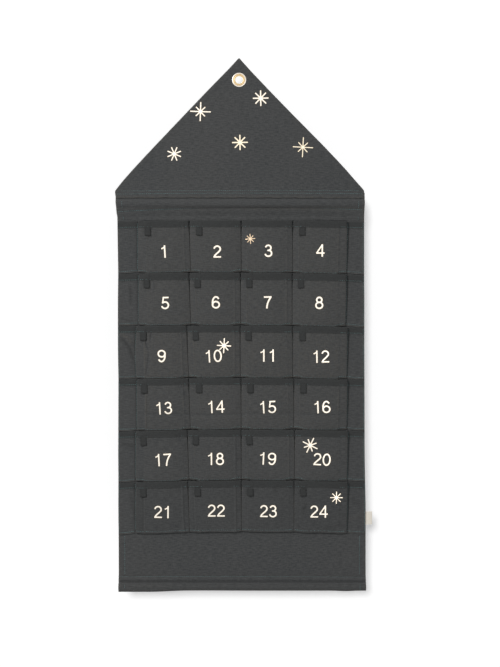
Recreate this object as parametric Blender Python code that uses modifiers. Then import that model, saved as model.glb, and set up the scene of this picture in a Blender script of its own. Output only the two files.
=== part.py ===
"""A cloth advent calendar shaped like a gabled house, with six pleated strips of four pockets.

Metres, +Z up. X runs to the right as the calendar is seen, the front faces -Y and the wall is at +Y.
The origin is the centre of the hanging eyelet, halfway through the two layers of the roof.
The roof hangs from the eyelet. The pocket panel hangs from the roof and folds back behind it.
"""

import math
from collections import namedtuple

import bmesh
import bpy
from mathutils import Vector

MM = 0.001

# Cloth, tape and the gaps between layers
CANVAS = 0.8 * MM
TAPE = 0.5 * MM
LABEL = 0.5 * MM
CLEAR = 0.3 * MM
LAYER = CANVAS + CLEAR

# Roof
APEX_ABOVE_EYELET = 38.9 * MM
APEX_RADIUS = 3 * MM
EAVE_BELOW_EYELET = 202.6 * MM
EAVE_OVERHANG = 3.2 * MM
ROOF_HEM_BELOW_EAVE = 13.1 * MM
ROOF_HEM_INSET = 1 * MM
ROOF_HEM_LAP = 3.3 * MM
ROOF_FRONT_Y = -LAYER / 2
ROOF_BACK_Y = LAYER / 2

# Eyelet
EYELET_BORE_RADIUS = 6.9 * MM
EYELET_RIM_RADIUS = 13.3 * MM
EYELET_METAL = 0.5 * MM
EYELET_RIM_RISE = 0.7 * MM
EYELET_ROLL_RISE = 1.4 * MM
EYELET_ROLL_WIDTH = 2.2 * MM
EYELET_GROOVE_RISE = 0.2 * MM
EYELET_CLINCH_SPREAD = 1.5 * MM
EYELET_CLINCH_RISE = 0.4 * MM
WASHER_DISH = 0.3 * MM
TURNED_STEPS = 32

# Pocket panel
PANEL_WIDTH = 447 * MM
PANEL_SHIFT = 2.5 * MM
SIDE_HEM = 12 * MM
CASING_HEM = 4.5 * MM
UPPER_CASING = 23.1 * MM
LOWER_CASING = 24.6 * MM
BAND_OVER_POCKETS = 22.2 * MM
BAND_UNDER_POCKETS = 79.4 * MM
ARC_POINTS = 5
LOOP_ARC_POINTS = 8

# Rods
ROD_DIAMETER = 10 * MM
ROD_INSET = 3 * MM
ROD_PLAY = 0.8 * MM
ROD_CHAMFER = 0.8 * MM
ROD_SIDES = 24
UPPER_ROD_OVER_STITCH = 9 * MM

# Pocket strips and their bindings
ROWS = 6
POCKETS = 4
ROW_PITCH = 94.6 * MM
ROW_GAP = 0.8 * MM
LEFT_MARGIN = 35 * MM
RIGHT_MARGIN = 30 * MM
STRIP_END_INSET = 1 * MM
BINDING = 11.5 * MM
OUTER_PLEAT = 17 * MM
INNER_PLEAT = 11.5 * MM
PLEAT_GAP_AT_MOUTH = 3.6 * MM
PLEAT_GAP_AT_MIDDLE = 1.4 * MM
PLEAT_GAP_AT_FOOT = 1 * MM
BOW_AT_MOUTH = 7 * MM
BOW_AT_MIDDLE = 6 * MM
BOW_POWER = 0.75
BOW_POINTS = 4
MIDDLE_SHARE = 0.45
MOUTH_SPREAD = 0.3 * MM

# Tape loops, each with its centre at a share of the pocket's width from the seam at its left
LOOP_WIDTH = 10.5 * MM
LOOP_LENGTH = 15 * MM
LOOP_HOLLOW = 1.4 * MM
LOOP_CENTRE_SHARES = (
    (0.21, 0.19, None, 0.15),
    (0.19, 0.16, 0.14, 0.12),
    (0.13, 0.12, 0.13, 0.15),
    (0.15, 0.19, 0.16, 0.17),
    (0.13, 0.13, 0.14, None),
    (0.13, 0.16, 0.16, 0.16),
)

# Side label
LABEL_REACH = 15.5 * MM
LABEL_HEIGHT = 24 * MM
LABEL_BELOW_LAST_MOUTH = 55 * MM
LABEL_CLEAR = 0.5 * MM

# Places that follow from the sizes above
EAVE_Z = -EAVE_BELOW_EYELET
ROOF_HEM_Z = EAVE_Z - ROOF_HEM_BELOW_EAVE
FOLD_Z = ROOF_HEM_Z + ROOF_HEM_LAP
UPPER_STITCH_Z = FOLD_Z - UPPER_CASING
FIRST_MOUTH_Z = UPPER_STITCH_Z - BAND_OVER_POCKETS
LOWER_STITCH_Z = FIRST_MOUTH_Z - ROWS * ROW_PITCH - BAND_UNDER_POCKETS
PANEL_BOTTOM_Z = LOWER_STITCH_Z - LOWER_CASING
PANEL_LEFT = PANEL_SHIFT - PANEL_WIDTH / 2
PANEL_RIGHT = PANEL_SHIFT + PANEL_WIDTH / 2
PANEL_Y = ROOF_FRONT_Y + LAYER
PANEL_FACE_Y = PANEL_Y - CANVAS / 2
BACK_LAYER_Y = PANEL_Y + 3 * LAYER
FOLD_Y = BACK_LAYER_Y + CANVAS / 2 + 1.5 * CLEAR
CASING_RADIUS = ROD_DIAMETER / 2 + ROD_PLAY + LAYER + CANVAS / 2
ROD_Y = BACK_LAYER_Y - CASING_RADIUS
UPPER_ROD_Z = UPPER_STITCH_Z + UPPER_ROD_OVER_STITCH
LOWER_ROD_Z = PANEL_BOTTOM_Z + CANVAS / 2 + CASING_RADIUS
FIRST_SEAM_X = PANEL_LEFT + LEFT_MARGIN
POCKET_PITCH = (PANEL_WIDTH - LEFT_MARGIN - RIGHT_MARGIN) / POCKETS
ROD_LENGTH = PANEL_WIDTH - 2 * ROD_INSET
EYELET_HOLE_RADIUS = EYELET_BORE_RADIUS + EYELET_METAL + 2 * CLEAR
STRIP_HEIGHT = ROW_PITCH - ROW_GAP - TAPE - CLEAR

# From a strip's middle to the middle of its binding's wall, and to the outside of it
BINDING_OFFSET = CANVAS / 2 + CLEAR + TAPE / 2
BOUND_HALF = BINDING_OFFSET + TAPE / 2

# A strip's form at one height: share of the way down, middle of the layer on the panel, step from
# layer to layer, distance from the seam to a pleat's outer fold, and how far the pocket bows out
Level = namedtuple("Level", "share base step fold bow")
LEVELS = (
    Level(
        0,
        PANEL_FACE_Y - CLEAR - BOUND_HALF,
        2 * BOUND_HALF + CLEAR + MOUTH_SPREAD,
        PLEAT_GAP_AT_MOUTH / 2 + BOUND_HALF,
        BOW_AT_MOUTH,
    ),
    Level(
        MIDDLE_SHARE,
        PANEL_FACE_Y - CLEAR - BOUND_HALF,
        2 * LAYER,
        PLEAT_GAP_AT_MIDDLE / 2 + CANVAS / 2,
        BOW_AT_MIDDLE,
    ),
    Level(1, PANEL_FACE_Y - CLEAR - CANVAS / 2, LAYER, PLEAT_GAP_AT_FOOT / 2 + CANVAS / 2, 0),
)

COLOURS = {
    "canvas": ((0.065, 0.067, 0.066, 1), 0.95, 0),
    "tape": ((0.044, 0.046, 0.044, 1), 0.9, 0),
    "dowel": ((0.62, 0.45, 0.27, 1), 0.6, 0),
    "eyelet_metal": ((0.83, 0.74, 0.55, 1), 0.3, 1),
    "label_cloth": ((0.83, 0.79, 0.72, 1), 0.85, 0),
}


def clear_scene():
    for obj in list(bpy.data.objects):
        bpy.data.objects.remove(obj, do_unlink=True)


def make_material(name):
    colour, roughness, metallic = COLOURS[name]
    material = bpy.data.materials.new(name)
    material.use_nodes = True
    shader = material.node_tree.nodes["Principled BSDF"]
    shader.inputs["Base Color"].default_value = colour
    shader.inputs["Roughness"].default_value = roughness
    shader.inputs["Metallic"].default_value = metallic
    return material


def make_empty(name, at):
    empty = bpy.data.objects.new(name, None)
    empty.location = at
    CALENDAR.objects.link(empty)
    return empty


def attach(obj, material, parent, at=(0, 0, 0)):
    """Gives an object its material and parent, with its origin at a point of the calendar."""
    obj.data.materials.append(MATERIALS[material])
    obj.parent = parent
    obj.location = Vector(at) - parent.location
    if obj.name not in CALENDAR.objects:
        CALENDAR.objects.link(obj)
    return obj


def give_thickness(obj, thickness):
    wall = obj.modifiers.new("thickness", "SOLIDIFY")
    wall.thickness = thickness
    wall.offset = 0
    wall.use_even_offset = True
    wall.use_quality_normals = True


def cloth_grid(name, columns, rows, place, thickness):
    """A sheet of columns by rows points, each put where place(column, row) says."""
    grid = bmesh.new()
    bmesh.ops.create_grid(grid, x_segments=columns - 1, y_segments=rows - 1, size=1)
    for vertex in grid.verts:
        column = round((vertex.co.x + 1) / 2 * (columns - 1))
        row = round((vertex.co.y + 1) / 2 * (rows - 1))
        vertex.co = place(column, row)
    mesh = bpy.data.meshes.new(name)
    grid.to_mesh(mesh)
    grid.free()
    obj = bpy.data.objects.new(name, mesh)
    give_thickness(obj, thickness)
    return obj


def flat_cloth(name, outlines, thickness):
    """A flat sheet from outlines in X and Z; the ones inside the first are holes."""
    curve = bpy.data.curves.new(name, "CURVE")
    curve.dimensions = "2D"
    curve.fill_mode = "BOTH"
    curve.extrude = thickness / 2
    for outline in outlines:
        spline = curve.splines.new("POLY")
        spline.points.add(len(outline) - 1)
        for point, (x, z) in zip(spline.points, outline):
            point.co = (x, z, 0, 1)
        spline.use_cyclic_u = True
    obj = bpy.data.objects.new(name, curve)
    obj.rotation_euler.x = math.radians(90)
    return obj


def turned_sheet(name, profile, thickness):
    """Sheet metal turned about the eyelet's axis, from points of radius and distance to the front."""
    mesh = bpy.data.meshes.new(name)
    points = [(radius, 0, forward) for radius, forward in profile]
    mesh.from_pydata(points, [(n, n + 1) for n in range(len(points) - 1)], [])
    obj = bpy.data.objects.new(name, mesh)
    turn = obj.modifiers.new("turn", "SCREW")
    turn.axis = "Z"
    turn.steps = TURNED_STEPS
    turn.render_steps = TURNED_STEPS
    turn.use_merge_vertices = True
    turn.merge_threshold = CLEAR / 10
    give_thickness(obj, thickness)
    obj.rotation_euler.x = math.radians(90)
    return obj


def circle(centre, radius, start, end, count):
    """Points on a circle, with angles measured from the second axis towards minus the first one."""
    turns = [start + (end - start) * n / (count - 1) for n in range(count)]
    return [
        (centre[0] - radius * math.sin(turn), centre[1] + radius * math.cos(turn)) for turn in turns
    ]


def tangent_turn(centre, radius, point, side):
    """The angle on such a circle where a straight line from the point touches it."""
    across, up = point[0] - centre[0], point[1] - centre[1]
    bearing = math.atan2(-across, up)
    if side < 0:
        bearing %= 2 * math.pi
    return bearing + side * math.acos(radius / math.hypot(across, up))


def offset_path(path, distance):
    """A path moved sideways by a distance, to the right of its direction, with mitred corners."""
    ways = [(Vector(b) - Vector(a)).normalized() for a, b in zip(path, path[1:])]
    sides = [Vector((way.y, -way.x)) for way in ways]
    sides = [sides[0], *sides, sides[-1]]
    moved = []
    for point, before, after in zip(path, sides, sides[1:]):
        moved.append(Vector(point) + distance * (before + after) / (1 + before.dot(after)))
    return moved


def roof_outline(lower_z):
    """The gable from its rounded apex to a lower edge, in X and Z."""
    half = PANEL_WIDTH / 2 + EAVE_OVERHANG
    left = Vector((PANEL_SHIFT - half, EAVE_Z))
    right = Vector((PANEL_SHIFT + half, EAVE_Z))
    apex = Vector((0, APEX_ABOVE_EYELET))
    slopes = [(end - apex).normalized() for end in (left, right)]
    down = (slopes[0] + slopes[1]).normalized()
    half_angle = slopes[0].angle(slopes[1]) / 2
    centre = apex + down * APEX_RADIUS / math.sin(half_angle)
    turn = math.pi / 2 - half_angle
    tilt = math.atan2(down.x, -down.y)
    top = circle(centre, APEX_RADIUS, tilt + turn, tilt - turn, 3)
    inset = Vector((ROOF_HEM_INSET * (EAVE_Z - lower_z) / ROOF_HEM_BELOW_EAVE, 0))
    drop = Vector((0, lower_z - EAVE_Z))
    return [*top, right, right + drop - inset, left + drop + inset, left]


def eyelet_hole():
    last = 2 * math.pi * (TURNED_STEPS - 1) / TURNED_STEPS
    return circle((0, 0), EYELET_HOLE_RADIUS, 0, last, TURNED_STEPS)


def make_roof(parent):
    front = flat_cloth("roof_front", [roof_outline(ROOF_HEM_Z), eyelet_hole()], CANVAS)
    attach(front, "canvas", parent, (0, ROOF_FRONT_Y, 0))
    back = flat_cloth("roof_back", [roof_outline(FOLD_Z + CLEAR), eyelet_hole()], CANVAS)
    attach(back, "canvas", parent, (0, ROOF_BACK_Y, 0))


def make_eyelet(parent):
    """A barrel with a rolled front flange, rolled over behind a washer."""
    seat = LAYER / 2 + CANVAS / 2 + CLEAR + EYELET_METAL / 2
    barrel = EYELET_BORE_RADIUS + EYELET_METAL / 2
    rim = EYELET_RIM_RADIUS - EYELET_METAL / 2
    roll = barrel + EYELET_ROLL_WIDTH
    behind = seat + EYELET_METAL + CLEAR + WASHER_DISH
    profile = [
        (rim, seat),
        (rim - EYELET_RIM_RISE / 2, seat + EYELET_RIM_RISE),
        (rim - 2 * EYELET_RIM_RISE, seat + EYELET_RIM_RISE),
        (roll + EYELET_RIM_RISE, seat + EYELET_GROOVE_RISE),
        (roll, seat + EYELET_GROOVE_RISE),
        (roll - EYELET_ROLL_WIDTH / 3, seat + EYELET_ROLL_RISE),
        (barrel + EYELET_ROLL_WIDTH / 4, seat + EYELET_ROLL_RISE),
        (barrel, seat + EYELET_ROLL_RISE / 2),
        (barrel, -behind),
        (barrel + EYELET_CLINCH_SPREAD / 3, -behind - EYELET_CLINCH_RISE),
        (barrel + EYELET_CLINCH_SPREAD, -behind - EYELET_CLINCH_RISE),
    ]
    attach(turned_sheet("eyelet_barrel", profile, EYELET_METAL), "eyelet_metal", parent)
    washer = [
        (EYELET_HOLE_RADIUS, -seat - WASHER_DISH),
        ((EYELET_HOLE_RADIUS + rim) / 2, -seat - WASHER_DISH),
        (rim, -seat),
    ]
    attach(turned_sheet("eyelet_washer", washer, EYELET_METAL), "eyelet_metal", parent)


def panel_section():
    """The panel's middle line in Y and Z, from the hem behind the upper rod to the one behind the lower."""
    upper = (ROD_Y, UPPER_ROD_Z)
    lower = (ROD_Y, LOWER_ROD_Z)
    fold = FOLD_Z - CLEAR - CANVAS / 2
    under_roof = (PANEL_Y, ROOF_HEM_Z - CLEAR)
    upper_stitch = (PANEL_Y, UPPER_STITCH_Z)
    lower_stitch = (PANEL_Y, LOWER_STITCH_Z)
    start = tangent_turn(upper, CASING_RADIUS, under_roof, 1)
    end = tangent_turn(upper, CASING_RADIUS, upper_stitch, -1)
    low_start = tangent_turn(lower, CASING_RADIUS, lower_stitch, 1)
    return [
        (BACK_LAYER_Y, UPPER_STITCH_Z - CASING_HEM),
        (BACK_LAYER_Y, fold),
        (PANEL_Y, fold),
        under_roof,
        *circle(upper, CASING_RADIUS, start, end, ARC_POINTS),
        upper_stitch,
        lower_stitch,
        *circle(lower, CASING_RADIUS, low_start, 1.5 * math.pi, LOOP_ARC_POINTS),
        (BACK_LAYER_Y, LOWER_STITCH_Z + CASING_HEM),
    ]


def make_panel(parent):
    """One sheet: its sides are folded back as hems, and its ends are folded back round the rods."""
    flat = [Vector(point) for point in panel_section()]
    hemmed = offset_path(panel_section(), -LAYER)
    left, right = PANEL_LEFT + CANVAS / 2, PANEL_RIGHT - CANVAS / 2
    columns = (
        (PANEL_LEFT + SIDE_HEM, hemmed),
        (left, hemmed),
        (left, flat),
        (right, flat),
        (right, hemmed),
        (PANEL_RIGHT - SIDE_HEM, hemmed),
    )

    def place(column, row):
        x, section = columns[column]
        return x, section[row].x, section[row].y

    panel = cloth_grid("body_panel", len(columns), len(flat), place, CANVAS)
    attach(panel, "canvas", parent)


def make_rod(name, z, parent):
    bpy.ops.mesh.primitive_cylinder_add(
        vertices=ROD_SIDES, radius=ROD_DIAMETER / 2, depth=ROD_LENGTH
    )
    rod = bpy.context.object
    rod.name = name
    rod.data.name = name
    for collection in list(rod.users_collection):
        collection.objects.unlink(rod)
    rod.rotation_euler.y = math.radians(90)
    chamfer = rod.modifiers.new("chamfer", "BEVEL")
    chamfer.width = ROD_CHAMFER
    chamfer.segments = 1
    chamfer.limit_method = "ANGLE"
    chamfer.angle_limit = math.radians(60)
    attach(rod, "dowel", parent, (PANEL_SHIFT, ROD_Y, z))


def seam_x(number):
    return FIRST_SEAM_X + number * POCKET_PITCH


def pleat_depth(number):
    return OUTER_PLEAT if number in (0, POCKETS) else INNER_PLEAT


def strip_section(level):
    """A strip's middle line in X and Y at one level, from the left margin to the right one.

    At each seam the cloth runs from the seam under the pocket, turns back to the seam and turns again
    to become the pocket's front, which bows out between its two pleats.
    """
    first, second, third = (level.base - n * level.step for n in range(3))
    section = [(PANEL_LEFT + STRIP_END_INSET, first), (seam_x(0), first)]
    for pocket in range(POCKETS):
        left, right = seam_x(pocket), seam_x(pocket + 1)
        left_inner, right_inner = left + pleat_depth(pocket), right - pleat_depth(pocket + 1)
        left_fold, right_fold = left + level.fold, right - level.fold
        middle, half = (left_fold + right_fold) / 2, (right_fold - left_fold) / 2
        section += [(left_inner, first), (left_inner, second)]
        section += [(left_fold, second), (left_fold, third)]
        for n in range(BOW_POINTS):
            across = -math.cos(math.pi * (n + 1) / (BOW_POINTS + 1))
            bow = level.bow * (1 - across**2) ** BOW_POWER
            section.append((middle + across * half, third - bow))
        section += [(right_fold, third), (right_fold, second)]
        section += [(right_inner, second), (right_inner, first)]
        section.append((right, first))
    section.append((PANEL_RIGHT - STRIP_END_INSET, first))
    return section


def section_at(share):
    """A strip's middle line at any share of the way down, straight between two levels."""
    upper = max(n for n in range(len(LEVELS) - 1) if LEVELS[n].share <= share)
    above, below = LEVELS[upper], LEVELS[upper + 1]
    along = (share - above.share) / (below.share - above.share)
    pairs = zip(strip_section(above), strip_section(below))
    return [Vector(a).lerp(Vector(b), along) for a, b in pairs]


def mouth_z(row):
    return FIRST_MOUTH_Z - row * ROW_PITCH


def make_strip(row, parent):
    sections = [strip_section(level) for level in LEVELS]
    top = mouth_z(row) - TAPE - CLEAR

    def place(column, level):
        x, y = sections[level][column]
        return x, y, top - LEVELS[level].share * STRIP_HEIGHT

    name = f"pocket_strip_{row + 1}"
    strip = cloth_grid(name, len(sections[0]), len(sections), place, CANVAS)
    attach(strip, "canvas", parent)


def make_binding(row, parent):
    """Tape folded over a strip's mouth, with a wall on each side of the cloth."""
    lower = section_at((BINDING - TAPE - CLEAR) / STRIP_HEIGHT)
    upper = section_at(0)
    top = mouth_z(row) - TAPE / 2
    foot = mouth_z(row) - BINDING
    walls = (
        (offset_path(lower, BINDING_OFFSET), foot),
        (offset_path(upper, BINDING_OFFSET), top),
        (offset_path(upper, -BINDING_OFFSET), top),
        (offset_path(lower, -BINDING_OFFSET), foot),
    )

    def place(column, wall):
        path, z = walls[wall]
        return path[column].x, path[column].y, z

    binding = cloth_grid(f"pocket_binding_{row + 1}", len(upper), len(walls), place, TAPE)
    attach(binding, "tape", parent)


def front_y(pocket, x, share):
    """The front face of a pocket's cloth at one place, where Y is least."""
    line = section_at(share)
    count = (len(line) - 3) // POCKETS
    start = 2 + pocket * count
    front = line[start + 3 : start + 5 + BOW_POINTS]
    for a, b in zip(front, front[1:]):
        if a.x <= x <= b.x:
            return a.y + (b.y - a.y) * (x - a.x) / (b.x - a.x) - CANVAS / 2
    return front[0].y - CANVAS / 2


def make_tape_loop(number, row, pocket, share, parent):
    """Tape folded to a flat loop, hanging from its upper front edge, which is its origin."""
    x = seam_x(pocket) + share * POCKET_PITCH
    z = mouth_z(row) - BINDING - CLEAR
    down = (BINDING + CLEAR) / STRIP_HEIGHT
    sides = (x - LOOP_WIDTH / 2, x + LOOP_WIDTH / 2)
    depth = LOOP_HOLLOW + 2 * TAPE
    y = min(front_y(pocket, side, down) for side in sides) - CLEAR - depth
    radius = (LOOP_HOLLOW + TAPE) / 2
    turn = circle((depth / 2, radius - LOOP_LENGTH), radius, math.pi / 2, 1.5 * math.pi, ARC_POINTS)
    path = [(TAPE / 2, 0), *turn, (depth - TAPE / 2, 0)]

    def place(column, row):
        return (column - 0.5) * LOOP_WIDTH, path[row][0], path[row][1]

    loop = cloth_grid(f"tape_loop_{number:02d}", 2, len(path), place, TAPE)
    attach(loop, "tape", parent, (x, y, z))


def make_side_label(parent):
    """A bare tab at the right-hand edge, with its origin on the edge that it is sewn in by."""
    top = mouth_z(ROWS - 1) - LABEL_BELOW_LAST_MOUTH

    def place(column, row):
        return column * LABEL_REACH, 0, (row - 1) * LABEL_HEIGHT

    label = cloth_grid("side_label", 2, 2, place, LABEL)
    attach(label, "label_cloth", parent, (PANEL_RIGHT + LABEL_CLEAR, PANEL_Y, top))


def make_calendar():
    roof = make_empty("roof_origin", (0, 0, 0))
    panel = make_empty("fold_axis", (PANEL_SHIFT, FOLD_Y, FOLD_Z))
    make_roof(roof)
    make_eyelet(roof)
    make_panel(panel)
    make_rod("upper_rod", UPPER_ROD_Z, panel)
    make_rod("lower_rod", LOWER_ROD_Z, panel)
    for row in range(ROWS):
        make_strip(row, panel)
        make_binding(row, panel)
        for pocket, share in enumerate(LOOP_CENTRE_SHARES[row]):
            if share is not None:
                make_tape_loop(row * POCKETS + pocket + 1, row, pocket, share, panel)
    make_side_label(panel)


clear_scene()
CALENDAR = bpy.data.collections.new("advent_calendar")
bpy.context.scene.collection.children.link(CALENDAR)
MATERIALS = {name: make_material(name) for name in COLOURS}
make_calendar()
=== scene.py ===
"""Looks of the cloth advent calendar: canvas, pleated pockets, tape, thread, foil prints, metal and wood.

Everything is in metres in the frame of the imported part: +X to the right, the front faces -Y, +Z up, and
the eyelet's centre is the origin. Each sheet of cloth has a UV map in metres of flat cloth, so that its
weave follows every fold.
"""

from __future__ import annotations

import logging
import math
from collections.abc import Callable
from dataclasses import dataclass, field
from enum import Enum

import bmesh
import bpy
import numpy as np
from mathutils import Matrix, Vector

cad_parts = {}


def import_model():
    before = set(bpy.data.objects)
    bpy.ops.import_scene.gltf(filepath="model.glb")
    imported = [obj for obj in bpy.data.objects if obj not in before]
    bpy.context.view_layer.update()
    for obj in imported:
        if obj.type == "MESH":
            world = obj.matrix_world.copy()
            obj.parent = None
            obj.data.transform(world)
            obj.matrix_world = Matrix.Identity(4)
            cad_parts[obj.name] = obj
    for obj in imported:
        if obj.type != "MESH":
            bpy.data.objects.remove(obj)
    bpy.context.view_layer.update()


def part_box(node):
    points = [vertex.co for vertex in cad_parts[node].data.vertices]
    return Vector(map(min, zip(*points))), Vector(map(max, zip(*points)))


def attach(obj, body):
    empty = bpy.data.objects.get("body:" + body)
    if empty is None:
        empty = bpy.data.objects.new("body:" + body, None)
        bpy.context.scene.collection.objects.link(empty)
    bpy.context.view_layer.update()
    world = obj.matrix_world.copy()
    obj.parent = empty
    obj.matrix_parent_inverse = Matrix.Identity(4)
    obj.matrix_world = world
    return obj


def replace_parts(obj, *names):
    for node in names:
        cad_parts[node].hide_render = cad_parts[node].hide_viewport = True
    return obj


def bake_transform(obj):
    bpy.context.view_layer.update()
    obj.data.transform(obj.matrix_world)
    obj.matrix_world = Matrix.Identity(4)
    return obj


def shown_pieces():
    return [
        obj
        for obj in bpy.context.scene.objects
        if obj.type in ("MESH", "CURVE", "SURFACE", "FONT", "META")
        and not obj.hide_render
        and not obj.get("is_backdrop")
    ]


MM = 0.001
# Thickness of canvas and tape, the gap between layers, a layer with its gap, and yarns to a metre
CANVAS = 0.8 * MM
TAPE = 0.5 * MM
CLEAR = 0.3 * MM
LAYER = CANVAS + CLEAR
CANVAS_YARNS = 1150.0
LOOP_WIDTH = 10.4 * MM
CENTRE_X = 0.010
LOG = logging.getLogger("advent_calendar")
LOOP_NODES = tuple(f"tape_loop_{number:02d}" for number in range(1, 25) if number not in (3, 20))
Colour = tuple[float, float, float, float]
Points = np.ndarray
Surface = Callable[[Points, Points], Points]
Path = tuple[tuple[float, float], ...]
Triple = tuple[float, float, float]
StitchRow = tuple[Points, Points]
FRONT = np.array([0.0, -1.0, 0.0])
BACK = np.array([0.0, 1.0, 0.0])


class Slot(Enum):
    """The record's material slots."""

    CANVAS = "canvas"
    TAPE = "tape"
    DOWEL = "dowel"
    EYELET = "eyelet_metal"
    LABEL = "label_cloth"
    THREAD = "thread"
    FOIL = "foil_print"


class FoilTone(Enum):
    """How much gold shows in a print, which depends on how it faces the light."""

    PALE = "pale"
    GOLD = "gold"
    COPPER = "copper"


# Shader nodes


@dataclass
class Graph:
    """Adds nodes to one tree and joins them."""

    tree: bpy.types.NodeTree

    def node(self, kind: str, **settings: object) -> bpy.types.Node:
        """Adds a node with its settings."""
        made = self.tree.nodes.new(kind)
        for key, value in settings.items():
            setattr(made, key, value)
        return made

    def feed(self, node: bpy.types.Node, **values: object) -> bpy.types.Node:
        """Sets or links a node's inputs.

        Args:
            node: the node to feed.
            values: for each input, named with underscores for spaces, a socket to link or a value to set.

        Returns:
            The same node.
        """
        for key, value in values.items():
            self.put(node.inputs[key.replace("_", " ")], value)
        return node

    def put(self, socket: bpy.types.NodeSocket, value: object) -> None:
        """Links a socket to an input, or sets the input's value."""
        if isinstance(value, bpy.types.NodeSocket):
            self.tree.links.new(value, socket)
        else:
            socket.default_value = value

    def maths(self, operation: str, *values: object) -> bpy.types.NodeSocket:
        """The result of a Math node on sockets and numbers."""
        made = self.node("ShaderNodeMath", operation=operation)
        for socket, value in zip(made.inputs, values):
            self.put(socket, value)
        return made.outputs[0]

    def mix(self, share: object, first: object, second: object) -> bpy.types.NodeSocket:
        """A colour between two, by a share."""
        made = self.node("ShaderNodeMix", data_type="RGBA")
        # The node's inputs 6 and 7 and its output 2 are those for colours
        for index, value in ((0, share), (6, first), (7, second)):
            self.put(made.inputs[index], value)
        return made.outputs[2]

    def noise(self, place: object, scale: float, detail: float = 2.0) -> bpy.types.NodeSocket:
        """A noise value at a place."""
        made = self.node("ShaderNodeTexNoise")
        self.feed(made, Vector=place, Scale=scale, Detail=detail)
        return made.outputs["Fac"]

    def stretched(self, place: object, scale: Triple) -> bpy.types.NodeSocket:
        """A place scaled unevenly."""
        made = self.node("ShaderNodeMapping", vector_type="POINT")
        self.feed(made, Vector=place, Scale=scale)
        return made.outputs[0]

    def span(self, value: object, low: float, high: float) -> bpy.types.NodeSocket:
        """A value brought to 0 at low and 1 at high, and kept between them."""
        made = self.node("ShaderNodeMapRange")
        for index, item in enumerate((value, low, high, 0.0, 1.0)):
            self.put(made.inputs[index], item)
        return made.outputs[0]

    def place(self) -> bpy.types.NodeSocket:
        """The place on the piece, in the object's own coordinates."""
        return self.node("ShaderNodeTexCoord").outputs["Object"]

    def attribute(self, name: str) -> bpy.types.NodeSocket:
        """The numbers that a mesh keeps under a name."""
        return self.node("ShaderNodeAttribute", attribute_name=name).outputs["Fac"]

    def bump(self, strength: float, distance: float, height: object) -> bpy.types.NodeSocket:
        """The normals of a surface that a height tilts."""
        made = self.node("ShaderNodeBump")
        return self.feed(made, Strength=strength, Distance=distance, Height=height).outputs[0]

    def group(self, tree: bpy.types.NodeTree, **values: object) -> bpy.types.bpy_prop_collection:
        """The outputs of a shared node group that is fed with values."""
        return self.feed(self.node("ShaderNodeGroup", node_tree=tree), **values).outputs

    def blend(self, kind: str, *values: object) -> bpy.types.NodeSocket:
        """The shader that an Add or Mix Shader node makes of its inputs."""
        made = self.node(kind)
        for socket, value in zip(made.inputs, values):
            self.put(socket, value)
        return made.outputs[0]

    def end_with(self, share: object, first: object, second: object) -> None:
        """Ends the tree with a mix of two shaders."""
        end = next(node for node in self.tree.nodes if node.type.startswith("OUTPUT"))
        self.put(end.inputs["Surface"], self.blend("ShaderNodeMixShader", share, first, second))


def new_group(name: str, inputs: dict[str, object], outputs: list[str]) -> tuple[Graph, object, object]:
    """Starts a node group.

    Args:
        name: the group's name.
        inputs: each input's name and default; a tuple makes a vector input.
        outputs: names of the value outputs.

    Returns:
        The group's graph, its input node's outputs and its output node's inputs.
    """
    tree = bpy.data.node_groups.new(name, "ShaderNodeTree")
    for key, default in inputs.items():
        kind = "NodeSocketVector" if isinstance(default, tuple) else "NodeSocketFloat"
        socket = tree.interface.new_socket(name=key, in_out="INPUT", socket_type=kind)
        socket.default_value = default
    for key in outputs:
        tree.interface.new_socket(name=key, in_out="OUTPUT", socket_type="NodeSocketFloat")
    graph = Graph(tree)
    return graph, graph.node("NodeGroupInput").outputs, graph.node("NodeGroupOutput").inputs


def new_weave(name: str) -> tuple[Graph, object, object, object]:
    """Starts a weave: its graph, its outputs, and the phases of its yarns across and along the cloth."""
    graph, given, result = new_group(name, {"Cloth": (0.0, 0.0, 0.0), "Yarns": 1000.0}, ["Height"])
    turned = graph.node("ShaderNodeVectorMath", operation="SCALE")
    graph.feed(turned, Vector=given["Cloth"], Scale=graph.maths("MULTIPLY", given["Yarns"], math.pi))
    parts = graph.node("ShaderNodeSeparateXYZ")
    graph.put(parts.inputs[0], turned.outputs[0])
    return graph, result, parts.outputs[0], parts.outputs[1]


def plain_weave() -> bpy.types.NodeTree:
    """Yarns that pass over and under each other; gives their height, 0 in the holes and 1 on the crowns."""
    graph, result, across, down = new_weave("plain_weave")
    across, down = graph.maths("SINE", across), graph.maths("SINE", down)
    warp, weft = graph.maths("ABSOLUTE", across), graph.maths("ABSOLUTE", down)
    over = graph.maths("GREATER_THAN", graph.maths("MULTIPLY", across, down), 0.0)
    warp_up = graph.maths("MULTIPLY", warp, graph.maths("MULTIPLY_ADD", weft, 0.5, 0.5))
    weft_up = graph.maths("MULTIPLY", weft, graph.maths("MULTIPLY_ADD", warp, 0.5, 0.5))
    top = graph.maths("MULTIPLY", warp_up, over)
    rest = graph.maths("MULTIPLY", weft_up, graph.maths("SUBTRACT", 1.0, over))
    graph.put(result["Height"], graph.maths("ADD", top, rest))
    return graph.tree


def ribbed_weave() -> bpy.types.NodeTree:
    """Close ribs across a tape, with finer yarns along them; gives their height."""
    graph, result, across, down = new_weave("ribbed_weave")
    ribs = graph.maths("ABSOLUTE", graph.maths("SINE", across))
    slant = graph.maths("MULTIPLY_ADD", across, 0.5, graph.maths("MULTIPLY", down, 2.0))
    fine = graph.maths("ABSOLUTE", graph.maths("SINE", slant))
    graph.put(result["Height"], graph.maths("MULTIPLY", ribs, graph.maths("MULTIPLY_ADD", fine, 0.35, 0.65)))
    return graph.tree


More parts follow.
